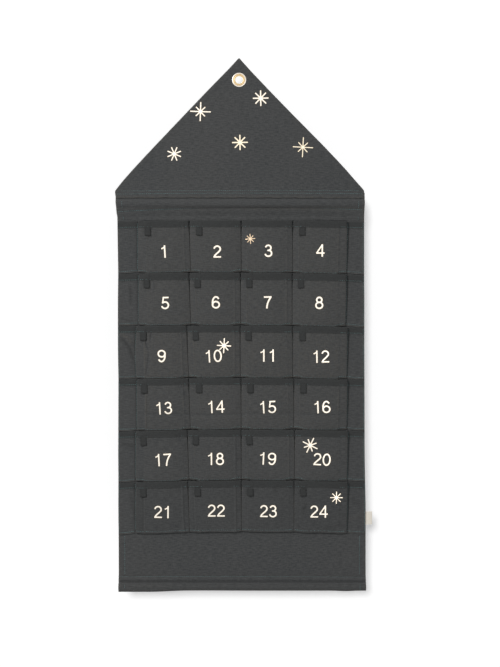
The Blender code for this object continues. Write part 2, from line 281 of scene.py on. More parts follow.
def yarn_tone() -> bpy.types.NodeTree:
    """How woven cloth varies: thick places in its yarns, slow changes of dye, and stray lint."""
    inputs = {"Cloth": (0.0, 0.0, 0.0), "Place": (0.0, 0.0, 0.0)}
    graph, given, result = new_group("yarn_tone", inputs, ["Slub", "Dye", "Lint"])
    weft = graph.noise(graph.stretched(given["Cloth"], (110.0, 620.0, 1.0)), 1.0, 3.0)
    warp = graph.noise(graph.stretched(given["Cloth"], (560.0, 190.0, 1.0)), 1.0, 3.0)
    yarns = graph.maths("MULTIPLY_ADD", weft, 0.66, graph.maths("MULTIPLY", warp, 0.34))
    graph.put(result["Slub"], graph.span(yarns, 0.38, 0.62))
    graph.put(result["Dye"], graph.span(graph.noise(given["Place"], 7.0, 3.0), 0.34, 0.66))
    specks = graph.noise(graph.stretched(given["Cloth"], (420.0, 700.0, 1.0)), 1.0, 1.0)
    graph.put(result["Lint"], graph.span(specks, 0.80, 0.84))
    return graph.tree


def worn_edge() -> bpy.types.NodeTree:
    """Rubbing along hems and folds, and painted highlights along creases, pressed folds, level bands and
    pocket fronts, broken up by the cloth; gives how much of it shows.
    """
    inputs = {"Place": (0.0, 0.0, 0.0), "Wear": 0.0}
    graph, given, result = new_group("worn_edge", inputs, ["Worn"])
    broken = graph.span(graph.noise(given["Place"], 260.0, 4.0), 0.30, 0.70)
    graph.put(result["Worn"], graph.maths("MULTIPLY", given["Wear"], broken))
    return graph.tree


@dataclass
class SharedEffects:
    """The node groups that more than one finish uses, each built once."""

    plain: bpy.types.NodeTree = field(default_factory=plain_weave)
    ribbed: bpy.types.NodeTree = field(default_factory=ribbed_weave)
    tone: bpy.types.NodeTree = field(default_factory=yarn_tone)
    worn: bpy.types.NodeTree = field(default_factory=worn_edge)


def start_material(name: str) -> tuple[bpy.types.Material, Graph, bpy.types.Node]:
    """A material with its graph and its Principled shader."""
    material = bpy.data.materials.new(name)
    material.use_nodes = True
    graph = Graph(material.node_tree)
    return material, graph, material.node_tree.nodes["Principled BSDF"]


@dataclass(frozen=True)
class ClothFinish:
    """A woven cloth.

    The colours are those of the gaps between the yarns, also used as painted shade, of their crowns, of
    slubs, and of places paled by rubbing, also used as painted highlight.
    """

    name: str
    slot: Slot
    deep: Colour
    crown: Colour
    slubs: Colour
    pale: Colour
    warm: Colour
    yarns: float
    depth: float
    slub: float
    ribbed: bool = False
    sheen: float = 0.12

    def material(self, effects: SharedEffects) -> bpy.types.Material:
        """Builds the material.

        Args:
            effects: the shared node groups.

        Returns:
            The material, which reads the UV map named cloth and the attribute named wear:
            above 0 it is paler, by rubbing and as painted highlight, below 0 darker, as painted shade.
        """
        material, graph, shader = start_material(self.name)
        cloth = graph.node("ShaderNodeUVMap", uv_map="cloth").outputs[0]
        place = graph.place()
        weave = effects.ribbed if self.ribbed else effects.plain
        height = graph.group(weave, Cloth=cloth, Yarns=self.yarns)["Height"]
        tone = graph.group(effects.tone, Cloth=cloth, Place=place)
        wear = graph.attribute("wear")
        worn = graph.group(effects.worn, Place=place, Wear=wear)["Worn"]
        yarn = graph.mix(graph.span(height, 0.05, 0.75), self.deep, self.crown)
        dyed = graph.mix(graph.maths("MULTIPLY", tone["Dye"], 0.5), yarn, self.warm)
        slubbed = graph.mix(graph.maths("MULTIPLY", tone["Slub"], self.slub), dyed, self.slubs)
        linted = graph.mix(graph.maths("MULTIPLY", tone["Lint"], 0.5), slubbed, self.slubs)
        # Paler towards the pale colour by rubbing and by painted highlights; below 0 darker towards the deep
        # colour as painted shade
        rubbed = graph.mix(graph.maths("MULTIPLY", worn, 0.7), linted, self.pale)
        coloured = graph.mix(graph.maths("MULTIPLY", wear, -1.0), rubbed, self.deep)
        bump = graph.bump(0.75, self.depth, graph.maths("MULTIPLY_ADD", tone["Slub"], 0.6, height))
        rough = graph.maths("MULTIPLY_ADD", height, -0.12, 0.98)
        graph.feed(shader, Base_Color=coloured, Roughness=rough, Normal=bump)
        graph.feed(shader, Sheen_Weight=self.sheen, Sheen_Roughness=0.6, Specular_IOR_Level=0.2)
        return material


@dataclass(frozen=True)
class ThreadFinish:
    """Twisted sewing thread."""

    name: str = "sewing_thread"
    slot: Slot = Slot.THREAD
    dark: Colour = (0.040, 0.080, 0.080, 1)
    light: Colour = (0.125, 0.230, 0.232, 1)

    def material(self, effects: SharedEffects) -> bpy.types.Material:
        """Builds the material."""
        material, graph, shader = start_material(self.name)
        place = graph.place()
        slow = graph.span(graph.noise(place, 90.0, 2.0), 0.32, 0.66)
        bands = graph.node("ShaderNodeTexWave", wave_type="BANDS", bands_direction="DIAGONAL")
        twist = graph.feed(bands, Vector=place, Scale=900.0, Distortion=1.5).outputs["Fac"]
        share = graph.maths("MULTIPLY_ADD", slow, 0.7, graph.maths("MULTIPLY", twist, 0.3))
        bump = graph.bump(0.6, 0.05 * MM, twist)
        graph.feed(shader, Base_Color=graph.mix(share, self.dark, self.light), Normal=bump)
        graph.feed(shader, Roughness=0.62, Sheen_Weight=0.2)
        return material


@dataclass(frozen=True)
class FoilFinish:
    """Gold foil pressed on cloth: pale where it lies flat, tan at its rim and where it is scuffed."""

    name: str
    face: Colour
    rim: Colour
    slot: Slot = Slot.FOIL
    yarns: float = CANVAS_YARNS

    def material(self, effects: SharedEffects) -> bpy.types.Material:
        """Builds the material, which reads the attribute named inside: 0 at a print's rim, 1 within it."""
        material, graph, shader = start_material(self.name)
        place = graph.place()
        inside = graph.attribute("inside")
        turned = graph.node("ShaderNodeMapping", vector_type="POINT")
        graph.feed(turned, Vector=place, Rotation=(math.radians(90), 0, 0))
        weave = graph.group(effects.plain, Cloth=turned.outputs[0], Yarns=self.yarns)["Height"]
        rubbed = graph.span(graph.noise(place, 420.0, 4.0), 0.62, 0.74)
        share = graph.maths("SUBTRACT", graph.span(inside, 0.0, 0.55), graph.maths("MULTIPLY", rubbed, 0.35))
        rough = graph.maths("MULTIPLY_ADD", rubbed, 0.2, 0.36)
        graph.feed(shader, Base_Color=graph.mix(share, self.rim, self.face), Roughness=rough)
        graph.feed(shader, Metallic=0.85, Normal=graph.bump(0.4, 0.05 * MM, weave))
        return material


@dataclass(frozen=True)
class EyeletFinish:
    """Pale gold plate, satin, with fine turned lines; its cream rim is a painted highlight, and its turned
    grooves are darkened as painted shade in place of dark reflections, and a little dulled.
    """

    name: str = "pale_gold_eyelet"
    slot: Slot = Slot.EYELET
    # The cream rim colour is a painted highlight, and the groove colour painted shade
    rim: Colour = (0.74, 0.68, 0.60, 1)
    bright: Colour = (0.76, 0.61, 0.37, 1)
    dull: Colour = (0.34, 0.22, 0.10, 1)
    groove: float = 10.7 * MM
    spacing: float = 2.45 * MM
    turned_lines: float = 24000.0

    def material(self, effects: SharedEffects) -> bpy.types.Material:
        """Builds the material, with a cream rim as a painted highlight, a yellower roll, and painted shade in
        the turned grooves in place of their dark reflections.
        """
        material, graph, shader = start_material(self.name)
        place = graph.place()
        far = graph.node("ShaderNodeVectorMath", operation="LENGTH")
        graph.put(far.inputs[0], graph.stretched(place, (1.0, 0.0, 1.0)))
        radius = far.outputs["Value"]
        from_groove = graph.maths("SUBTRACT", radius, self.groove)
        turn = graph.maths("MULTIPLY", from_groove, 2 * math.pi / self.spacing)
        ring = graph.span(graph.maths("COSINE", turn), 0.1, 0.9)
        # Painted shade in the turned grooves, broken into patches, standing in for dark reflections; it also
        # roughens them
        inner = graph.maths("MULTIPLY", ring, graph.span(from_groove, 1.1 * MM, 0.8 * MM))
        spots = graph.span(graph.noise(place, 330.0, 5.0), 0.35, 0.65)
        groove_shade = graph.maths("MULTIPLY", inner, graph.maths("MULTIPLY_ADD", spots, 0.6, 0.4))
        gold = graph.mix(graph.span(from_groove, -0.8 * MM, 0.6 * MM), self.bright, self.rim)
        lines = graph.maths("SINE", graph.maths("MULTIPLY", radius, self.turned_lines))
        rough = graph.maths("MULTIPLY_ADD", groove_shade, 0.2, 0.42)
        graph.feed(shader, Base_Color=graph.mix(groove_shade, gold, self.dull), Roughness=rough)
        graph.feed(shader, Metallic=1.0, Normal=graph.bump(0.25, 0.02 * MM, lines))
        return material


@dataclass(frozen=True)
class WoodFinish:
    """A plain turned rod of pale wood, with its grain along X."""

    name: str = "rod_wood"
    slot: Slot = Slot.DOWEL
    pale: Colour = (0.66, 0.47, 0.28, 1)
    dark: Colour = (0.40, 0.25, 0.12, 1)

    def material(self, effects: SharedEffects) -> bpy.types.Material:
        """Builds the material."""
        material, graph, shader = start_material(self.name)
        place = graph.place()
        grain = graph.noise(graph.stretched(place, (14.0, 700.0, 700.0)), 1.0, 5.0)
        figure = graph.noise(graph.stretched(place, (5.0, 160.0, 160.0)), 1.0, 2.0)
        both = graph.maths("MULTIPLY_ADD", grain, 0.6, graph.maths("MULTIPLY", figure, 0.4))
        share = graph.span(both, 0.34, 0.66)
        rough = graph.maths("MULTIPLY_ADD", share, 0.15, 0.5)
        graph.feed(shader, Base_Color=graph.mix(share, self.pale, self.dark), Roughness=rough)
        graph.feed(shader, Normal=graph.bump(0.4, 0.08 * MM, grain))
        return material


Finish = ClothFinish | ThreadFinish | FoilFinish | EyeletFinish | WoodFinish


@dataclass
class Palette:
    """Every finish of the calendar, each made a material once."""

    effects: SharedEffects = field(default_factory=SharedEffects)
    made: dict[str, bpy.types.Material] = field(default_factory=dict)

    canvas: ClothFinish = ClothFinish(
        "dark_canvas",
        Slot.CANVAS,
        deep=(0.024, 0.025, 0.024, 1),
        crown=(0.0472, 0.0508, 0.0534, 1),
        slubs=(0.0925, 0.0940, 0.0940, 1),
        pale=(0.103, 0.0935, 0.0780, 1),
        warm=(0.0518, 0.0518, 0.0512, 1),
        yarns=CANVAS_YARNS,
        depth=0.12 * MM,
        slub=0.58,
    )
    tape: ClothFinish = ClothFinish(
        "dark_tape",
        Slot.TAPE,
        deep=(0.016, 0.017, 0.016, 1),
        crown=(0.034, 0.035, 0.035, 1),
        slubs=(0.057, 0.060, 0.060, 1),
        pale=(0.058, 0.060, 0.059, 1),
        warm=(0.032, 0.035, 0.035, 1),
        yarns=1250.0,
        depth=0.12 * MM,
        slub=0.3,
        ribbed=True,
    )
    label: ClothFinish = ClothFinish(
        "cream_ribbon",
        Slot.LABEL,
        deep=(0.66, 0.61, 0.52, 1),
        crown=(0.90, 0.86, 0.78, 1),
        slubs=(0.95, 0.93, 0.88, 1),
        pale=(0.95, 0.93, 0.88, 1),
        warm=(0.88, 0.81, 0.69, 1),
        yarns=2300.0,
        depth=0.05 * MM,
        slub=0.2,
        sheen=0.25,
    )
    thread: ThreadFinish = ThreadFinish()
    eyelet: EyeletFinish = EyeletFinish()
    wood: WoodFinish = WoodFinish()
    foils: dict[FoilTone, FoilFinish] = field(
        default_factory=lambda: {
            FoilTone.PALE: FoilFinish("foil_pale", (0.96, 0.92, 0.82, 1), (0.72, 0.53, 0.33, 1)),
            FoilTone.GOLD: FoilFinish("foil_gold", (0.94, 0.88, 0.70, 1), (0.60, 0.42, 0.24, 1)),
            FoilTone.COPPER: FoilFinish("foil_copper", (0.78, 0.64, 0.46, 1), (0.45, 0.28, 0.16, 1)),
        }
    )

    def dress(self, piece: bpy.types.Object, finish: Finish) -> bpy.types.Object:
        """Gives a piece a finish.

        Args:
            piece: the object to dress.
            finish: one of the finishes.

        Returns:
            The same object.
        """
        if finish.name not in self.made:
            self.made[finish.name] = finish.material(self.effects)
        piece.data.materials.clear()
        piece.data.materials.append(self.made[finish.name])
        return piece

    def make_up(self, sheet: bpy.types.Object, thickness: float, finish: Finish, degrees: float = 60) -> None:
        """Gives a sheet its thickness, its smooth shading and its finish."""
        thicken(sheet, thickness)
        smooth(sheet, degrees)
        self.dress(sheet, finish)


# Modelling


def pick_only(piece: bpy.types.Object | None = None) -> None:
    """Deselects everything, then selects one piece and makes it active."""
    bpy.ops.object.select_all(action="DESELECT")
    if piece is not None:
        piece.select_set(True)
        bpy.context.view_layer.objects.active = piece


def name_piece(name: str) -> bpy.types.Object:
    """Names the object that an operator has just added, and its mesh."""
    piece = bpy.context.object
    piece.name = name
    piece.data.name = name
    return piece


def apply_modifier(piece: bpy.types.Object, kind: str, **settings: object) -> None:
    """Adds a modifier with its settings and applies it."""
    modifier = piece.modifiers.new(kind.lower(), kind)
    for key, value in settings.items():
        setattr(modifier, key, value)
    pick_only(piece)
    bpy.ops.object.modifier_apply(modifier=modifier.name)


def smooth(piece: bpy.types.Object, degrees: float = 40.0) -> None:
    """Shades a piece smooth, with edges sharper than an angle left sharp."""
    pick_only(piece)
    bpy.ops.object.shade_smooth_by_angle(angle=math.radians(degrees))


def set_attribute(piece: bpy.types.Object, name: str, values: Points) -> None:
    """Stores one number for each point of a mesh."""
    attribute = piece.data.attributes.new(name, "FLOAT", "POINT")
    attribute.data.foreach_set("value", np.asarray(values, np.float32).ravel())


def shaped_sheet(name: str, place: Points, flat: Points, wear: Points | None = None) -> bpy.types.Object:
    """A grid of cloth whose points are moved to their places.

    Args:
        name: the piece's name.
        place: the points, rows by columns by 3.
        flat: where each lies on the flat cloth, rows by columns by 2.
        wear: how much paler each is, by rubbing and as painted highlight, or darker below 0 as painted shade,
            rows by columns.

    Returns:
        The sheet, without thickness.
    """
    rows, columns = place.shape[:2]
    pick_only()
    bpy.ops.mesh.primitive_grid_add(x_subdivisions=columns - 1, y_subdivisions=rows - 1, size=2)
    sheet = name_piece(name)
    mesh = sheet.data
    at = np.zeros(len(mesh.vertices) * 3)
    mesh.vertices.foreach_get("co", at)
    at = at.reshape(-1, 3)
    column = np.rint((at[:, 0] + 1) / 2 * (columns - 1)).astype(int)
    row = np.rint((at[:, 1] + 1) / 2 * (rows - 1)).astype(int)
    mesh.vertices.foreach_set("co", place[row, column].ravel())
    corner = np.zeros(len(mesh.loops), int)
    mesh.loops.foreach_get("vertex_index", corner)
    layer = mesh.uv_layers.active or mesh.uv_layers.new()
    layer.name = "cloth"
    layer.data.foreach_set("uv", flat[row[corner], column[corner]].ravel())
    if wear is not None:
        set_attribute(sheet, "wear", wear[row, column])
    mesh.update()
    return sheet


def thicken(sheet: bpy.types.Object, thickness: float) -> None:
    """Gives a sheet its thickness, half to each side."""
    settings = {"thickness": thickness, "offset": 0.0, "use_even_offset": True, "use_quality_normals": True}
    apply_modifier(sheet, "SOLIDIFY", **settings)


def remove_faces(piece: bpy.types.Object, drop: Points) -> None:
    """Deletes the faces of a mesh that are marked, and the points that only they use."""
    work = bmesh.new()
    work.from_mesh(piece.data)
    work.faces.ensure_lookup_table()
    gone = [work.faces[int(index)] for index in np.flatnonzero(drop)]
    bmesh.ops.delete(work, geom=gone, context="FACES")
    work.to_mesh(piece.data)
    work.free()


def ease(value: Points | float, low: float, high: float) -> Points:
    """A smooth step from 0 at low to 1 at high."""
    share = np.clip((np.asarray(value, float) - low) / (high - low), 0, 1)
    return share * share * (3 - 2 * share)


def bell(value: Points, reach: float) -> Points:
    """1 where a value is 0, falling to nothing on both sides of it."""
    return np.exp(-((value / reach) ** 2))


def fade(far: Points, reach: float) -> Points:
    """1 at an edge, falling to nothing with the distance from it."""
    return np.exp(-far / reach)


def along(path: Points) -> Points:
    """The distance of each point of a path from its start."""
    steps = np.linalg.norm(np.diff(path, axis=0), axis=1)
    return np.concatenate([[0.0], np.cumsum(steps)])


def crowded(count: int, pull: float = 0.12) -> Points:
    """Shares from 0 to 1 that crowd towards both ends."""
    even = np.linspace(0, 1, count)
    return even - pull * np.sin(2 * math.pi * even)


# How the cloth hangs


@dataclass(frozen=True)
class SewnLine:
    """A line across the cloth: its height, and how far it is off it at the left, middle and right."""

    height: float
    left: float = 0.0
    middle: float = 0.0
    right: float = 0.0
    middle_x: float = -0.089
    left_x: float = -0.221
    right_x: float = 0.226

    def at(self, x: Points | float) -> Points:
        """The line's height at x."""
        a, b, c = self.left_x, self.middle_x, self.right_x
        first = self.left * (x - b) * (x - c) / ((a - b) * (a - c))
        second = self.middle * (x - a) * (x - c) / ((b - a) * (b - c))
        third = self.right * (x - a) * (x - b) / ((c - a) * (c - b))
        return self.height + first + second + third


@dataclass(frozen=True)
class Crease:
    """A crease in the cloth through points of X and Z, with its lengths in millimetres.

    Its lift is how far it stands out, negative for a groove, and its reach how wide it is to each side.
    Its tone is how much paler the cloth is painted along it as a highlight, negative for painted shade along
    it.
    """

    through: Path
    lift: float
    reach: float
    tone: float = 0.0

    def raised(self, x: Points, z: Points) -> Points:
        """How far the cloth stands out at each place."""
        return self.lift * MM * self.near(x, z)

    def near(self, x: Points, z: Points) -> Points:
        """How near each place is to the crease, from 0 to 1 on its line."""
        most = np.zeros(np.broadcast(x, z).shape)
        points = [(a * MM, b * MM) for a, b in self.through]
        lengths = [math.dist(a, b) for a, b in zip(points, points[1:])]
        total, before = sum(lengths), 0.0
        for (ax, az), (bx, bz), length in zip(points, points[1:], lengths):
            share = np.clip(((x - ax) * (bx - ax) + (z - az) * (bz - az)) / length**2, 0, 1)
            far = np.hypot(x - ax - share * (bx - ax), z - az - share * (bz - az))
            spot = (before + share * length) / total
            faint = np.clip(np.minimum(spot, 1 - spot) * 6 + 0.15, 0, 1)
            most = np.maximum(most, faint * np.exp(-((far / (self.reach * MM)) ** 1.5)))
            before += length
        return most


# Creases of the pockets and margins, of the roof, and of the bare band between them
# The fourth number of a crease is its tone: painted highlight above 0 and painted shade below 0
CREASES = (
    Crease(((-169.5, -456), (-168.5, -470), (-169.5, -478), (-163.5, -494)), -1.8, 1.4, -0.75),
    Crease(((-163.5, -494), (-164.5, -508), (-169, -538)), -1.6, 1.4, -0.6),
    Crease(((-158.5, -457), (-161, -478)), -1.8, 1.5, -0.6),
    Crease(((-108, -553), (-103, -561), (-101.5, -575)), 1.1, 1.6, -0.45),
    Crease(((-169.5, -572), (-169.5, -634)), 1.5, 1.6, 0.5),
    Crease(((73, -458), (84, -465), (87.5, -480)), 1.1, 1.7, -0.3),
    Crease(((-158, -655), (-143, -651), (-117, -649), (-99, -658)), 0.9, 3, -0.25),
    Crease(((-17, -647), (-7.5, -656), (-7.5, -716)), 0.8, 1.7, -0.3),
    Crease(((-218, -461), (-205, -468), (-194, -482)), 3.0, 3, 0.7),
    Crease(((-218, -468), (-207, -476), (-198, -489), (-190, -516)), -2.4, 3.5, -0.5),
    Crease(((-216, -660), (-191, -666)), 1.2, 3, -0.4),
    Crease(((-200, -372), (-198, -413)), 1.8, 2, -0.35),
    Crease(((-216, -432), (-192, -442)), 0.9, 2.5, -0.3),
    Crease(((-216, -440), (-198, -446)), 0.9, 2, 0.3),
    Crease(((-155, -366), (-156.5, -389)), 0.8, 1.8, -0.35),
    Crease(((-140, -421), (-110, -425), (-95, -418)), 0.7, 3, -0.2),
    Crease(((-219, -607), (-60, -610), (60, -607), (224, -611)), -1.3, 3, -0.18),
    Crease(((121, -768), (114, -787)), 0.9, 3, -0.3),
    Crease(((150, -818), (178, -808), (194, -812)), 0.7, 3, -0.2),
    Crease(((203, -760), (222, -775)), 1.1, 4, -0.3),
    Crease(((200, -800), (221, -792)), 0.9, 4, 0.3),
    Crease(((-200, -745), (-192, -790), (-190, -812)), 0.7, 3, -0.2),
    Crease(((60, -735), (66, -752)), 0.7, 2.5, -0.25),
    Crease(((-40, -420), (-5, -415)), 0.6, 2.5, -0.2),
    Crease(((-80, -425), (-45, -421), (-15, -426)), 0.6, 3, -0.2),
)
ROOF_CREASES = (
    Crease(((-9, -128), (-8, -197)), 0.5, 4),
    Crease(((2, 20), (1, -110)), 0.18, 3),
    Crease(((-200, -196), (-120, -199), (-40, -193)), 0.5, 3),
    Crease(((-205, -206), (-178, -201), (-150, -203)), 0.6, 2.5),
    Crease(((30, -195), (110, -198), (200, -193)), 0.4, 3),
    Crease(((-110, -208.6), (0, -208.2), (115, -208.6)), -0.4, 1.3),
)
BAND_CREASES = (
    Crease(((134, -247), (175, -242), (213, -240)), 0.8, 3),
    Crease(((120, -252), (190, -250)), 0.4, 2.5),
    Crease(((-216, -246), (-206, -240)), 0.6, 2.5),
    Crease(((-216, -252), (-200, -250)), 0.4, 2),
    Crease(((-120, -246), (-20, -244), (60, -247)), 0.3, 3),
    Crease(((-125, -246.5), (0, -246.8), (214, -246.8)), -1.2, 2.6),
)


def slack(x: Points, z: Points, seed: float = 0.0) -> Points:
    """The slow unevenness of hanging cloth, from -1 to 1."""
    # Each wave's pace along X and along Z, and where it starts
    waves = (
        (61.0, 23.0, 0.4),
        (-37.0, 88.0, 2.1),
        (124.0, -52.0, 4.4),
        (79.0, 141.0, 1.2),
        (-201.0, 66.0, 5.3),
        (33.0, -190.0, 3.6),
    )
    total = sum(np.sin(a * x + b * z + c + seed * (1.3 + n)) for n, (a, b, c) in enumerate(waves))
    return total / len(waves)


def pucker(x: Points, away: Points, reach: float = 5 * MM) -> Points:
    """Small gathers that a row of stitches pulls into the cloth beside it, from -1 to 1."""
    wave = np.sin(x * 870.0 + 1.7 * np.sin(x * 130.0)) * (0.6 + 0.4 * np.sin(x * 57.0))
    return wave * bell(away, reach)


@dataclass(frozen=True)
class PanelOutline:
    """The side edges of the hanging panel and of all that is sewn to it: heights with left and right X."""

    edges: tuple[Triple, ...] = (
        (-0.2160, -0.2242, 0.2279),
        (-0.2280, -0.2230, 0.2275),
        (-0.2386, -0.2221, 0.2272),
        (-0.2477, -0.2210, 0.2271),
        (-0.3000, -0.2203, 0.2270),
        (-0.3500, -0.2194, 0.2270),
        (-0.4000, -0.2200, 0.2273),
        (-0.4900, -0.2199, 0.2273),
        (-0.5450, -0.2190, 0.2275),
        (-0.6830, -0.2194, 0.2279),
        (-0.7300, -0.2190, 0.2287),
        (-0.7740, -0.2192, 0.2296),
        (-0.8250, -0.2187, 0.2297),
        (-0.8740, -0.2184, 0.2296),
        (-0.9250, -0.2184, 0.2299),
    )

    def left(self, z: Points | float) -> Points:
        """The left edge's X at a height."""
        heights, lefts, _ = np.array(self.edges).T
        return np.interp(-np.asarray(z, float), -heights, lefts)

    def right(self, z: Points | float) -> Points:
        """The right edge's X at a height."""
        heights, _, rights = np.array(self.edges).T
        return np.interp(-np.asarray(z, float), -heights, rights)


# Thread


def row_of(x: Points, y: Points | float, z: Points, out: Points) -> StitchRow:
    """A row of stitches along a path, with the way out of the cloth."""
    return np.stack(np.broadcast_arrays(x, y, z), axis=1), out


@dataclass
class Needle:
    """Sews rows of stitches: one stitch is modelled, and each row holds copies of it in one mesh."""

    palette: Palette
    length: float = 2.9 * MM
    pitch: float = 3.5 * MM
    radius: float = 0.34 * MM
    uneven: float = 0.06
    proud: float = 0.35
    sides: int = 6
    rings: int = 5

    def __post_init__(self) -> None:
        """Models the one stitch."""
        pick_only()
        bpy.ops.mesh.primitive_uv_sphere_add(segments=self.sides, ring_count=self.rings, radius=1)
        model = name_piece("one_stitch")
        bpy.ops.object.mode_set(mode="EDIT")
        bpy.ops.mesh.select_all(action="SELECT")
        bpy.ops.transform.rotate(value=math.radians(90), orient_axis="Y", center_override=(0, 0, 0))
        bpy.ops.transform.resize(value=(self.length / 2, self.radius, self.radius), center_override=(0, 0, 0))
        bpy.ops.object.mode_set(mode="OBJECT")
        self.points = np.array([tuple(v.co) for v in model.data.vertices])
        self.faces = [tuple(face.vertices) for face in model.data.polygons]
        bpy.data.objects.remove(model)

    def sew(self, name: str, body: str, rows: list[StitchRow]) -> bpy.types.Object:
        """Sews rows of stitches as one piece.

        Args:
            name: the piece's name.
            body: the body that it moves with.
            rows: for each row its path on the cloth's surface, and the way out of the cloth.

        Returns:
            The piece.
        """
        points, faces = [], []
        for path, out in rows:
            for middle, way, away in self.stations(np.asarray(path, float), np.asarray(out, float)):
                side = np.cross(away, way)
                first = len(points) * len(self.points)
                turned = self.points @ np.stack([way, side, away])
                points.append(turned + middle + away * self.radius * self.proud)
                faces += [tuple(first + index for index in face) for face in self.faces]
        mesh = bpy.data.meshes.new(name)
        mesh.from_pydata(np.concatenate(points).tolist(), [], faces)
        piece = bpy.data.objects.new(name, mesh)
        bpy.context.scene.collection.objects.link(piece)
        smooth(piece, 80.0)
        self.palette.dress(piece, self.palette.thread)
        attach(piece, body)
        return piece

    def stations(self, path: Points, out: Points) -> list[tuple[Points, Points, Points]]:
        """Each stitch's middle, its way along the path and its way out of the cloth."""
        far = along(path)
        if out.ndim == 1:
            out = np.tile(out, (len(path), 1))
        count = int((far[-1] - self.length) / self.pitch) + 1
        found = []
        for number in range(count):
            start = self.pitch * (number + self.uneven * math.sin(number * 2.4))
            end = start + self.length
            places = [np.array([np.interp(s, far, path[:, k]) for k in range(3)]) for s in (start, end)]
            way = places[1] - places[0]
            away = np.array([np.interp(start + self.length / 2, far, out[:, k]) for k in range(3)])
            way /= np.linalg.norm(way)
            away -= way * (away @ way)
            away /= np.linalg.norm(away)
            found.append(((places[0] + places[1]) / 2, way, away))
        return found


# Foil numbers and stars


@dataclass(frozen=True)
class Stroke:
    """One stroke of the pen, in shares of a number's height: its path, and if its ends are round."""

    path: Path
    width: float = 0.135
    round_ends: bool = False

    def far(self, x: Points, z: Points) -> Points:
        """Distance of each place from the stroke's edge, negative inside it."""
        best = np.full(np.broadcast(x, z).shape, np.inf)
        last = len(self.path) - 2
        for number, ((ax, az), (bx, bz)) in enumerate(zip(self.path, self.path[1:])):
            length = math.hypot(bx - ax, bz - az)
            wx, wz = (bx - ax) / length, (bz - az) / length
            ahead = (x - ax) * wx + (z - az) * wz
            side = (x - ax) * wz - (z - az) * wx
            held = np.clip(ahead, 0, length)
            edge = np.hypot(ahead - held, side) - self.width / 2
            beside = np.maximum(np.abs(side) - self.width / 2, 0)
            if not self.round_ends and number == 0:
                edge = np.where(ahead < 0, np.hypot(beside, ahead), edge)
            if not self.round_ends and number == last:
                edge = np.where(ahead > length, np.hypot(beside, ahead - length), edge)
            best = np.minimum(best, edge)
        return best


def arc(cx: float, cz: float, rx: float, rz: float, start: float, end: float) -> Path:
    """Points of an arc of an ellipse, between two angles in degrees."""
    count = max(3, round(abs(end - start) / 12) + 1)
    angles = [math.radians(start + (end - start) * n / (count - 1)) for n in range(count)]
    return tuple((cx + rx * math.cos(a), cz + rz * math.sin(a)) for a in angles)


def turned_over(path: Path) -> Path:
    """A path turned half round, as a 9 is a 6 turned over."""
    return tuple((DIGIT_WIDTH - x, 1 - z) for x, z in path)


DIGIT_WIDTH = 0.694
SIX = (
    arc(0.347, 0.310, 0.274, 0.252, 0, 360),
    arc(0.352, 0.500, 0.279, 0.442, 38, 205),
)
# The strokes of each digit, in shares of its height
NUMERALS = {
    "0": (Stroke(arc(0.345, 0.5, 0.272, 0.444, 0, 360)),),
    "1": (Stroke(((0.405, 0), (0.405, 1)), 0.132), Stroke(((0.41, 0.90), (0.31, 0.81), (0.14, 0.73)), 0.110)),
    "2": (
        Stroke(
            arc(0.340, 0.705, 0.250, 0.238, 172, -22)
            + ((0.47, 0.49), (0.29, 0.33), (0.15, 0.19), (0.11, 0.06))
        ),
        Stroke(((0.035, 0.070), (0.655, 0.070)), 0.130),
    ),
    "3": (
        Stroke(arc(0.328, 0.735, 0.215, 0.208, 165, -88)),
        Stroke(arc(0.328, 0.298, 0.262, 0.240, 88, -168)),
        Stroke(((0.245, 0.530), (0.340, 0.530)), 0.122),
    ),
    "4": (
        Stroke(((0.500, 0), (0.500, 1)), 0.132),
        Stroke(((0.010, 0.295), (0.690, 0.295)), 0.122),
        Stroke(((0.495, 0.955), (0.060, 0.320)), 0.112),
    ),
    "5": (
        Stroke(((0.150, 0.930), (0.63, 0.930)), 0.130),
        Stroke(((0.215, 0.98), (0.140, 0.46)), 0.122),
        Stroke(arc(0.333, 0.312, 0.273, 0.262, 140, -165)),
    ),
    "6": tuple(Stroke(path) for path in SIX),
    "7": (
        Stroke(((0.045, 0.930), (0.665, 0.930)), 0.130),
        Stroke(((0.590, 0.89), (0.44, 0.66), (0.345, 0.44), (0.285, 0.22), (0.265, 0))),
    ),
    "8": (Stroke(arc(0.345, 0.742, 0.208, 0.202, 0, 360)), Stroke(arc(0.345, 0.302, 0.268, 0.246, 0, 360))),
    "9": tuple(Stroke(turned_over(path)) for path in SIX),
}


@dataclass(frozen=True)
class Star:
    """A plain star of lines crossing at one point; lengths in millimetres, turn in degrees."""

    x: float
    z: float
    across: float
    upright: float
    slanting: float
    turn: float = 0.0
    tone: FoilTone = FoilTone.PALE
    width: float = 2.5

    def strokes(self) -> tuple[Stroke, ...]:
        """Its four lines, in millimetres about its centre."""
        lengths = (self.across, self.slanting, self.upright, self.slanting)
        found = []
        for number, length in enumerate(lengths):
            angle = math.radians(self.turn + 45 * number)
            x, z = length * math.cos(angle), length * math.sin(angle)
            found.append(Stroke(((-x, -z), (x, z)), self.width, round_ends=True))
        return tuple(found)


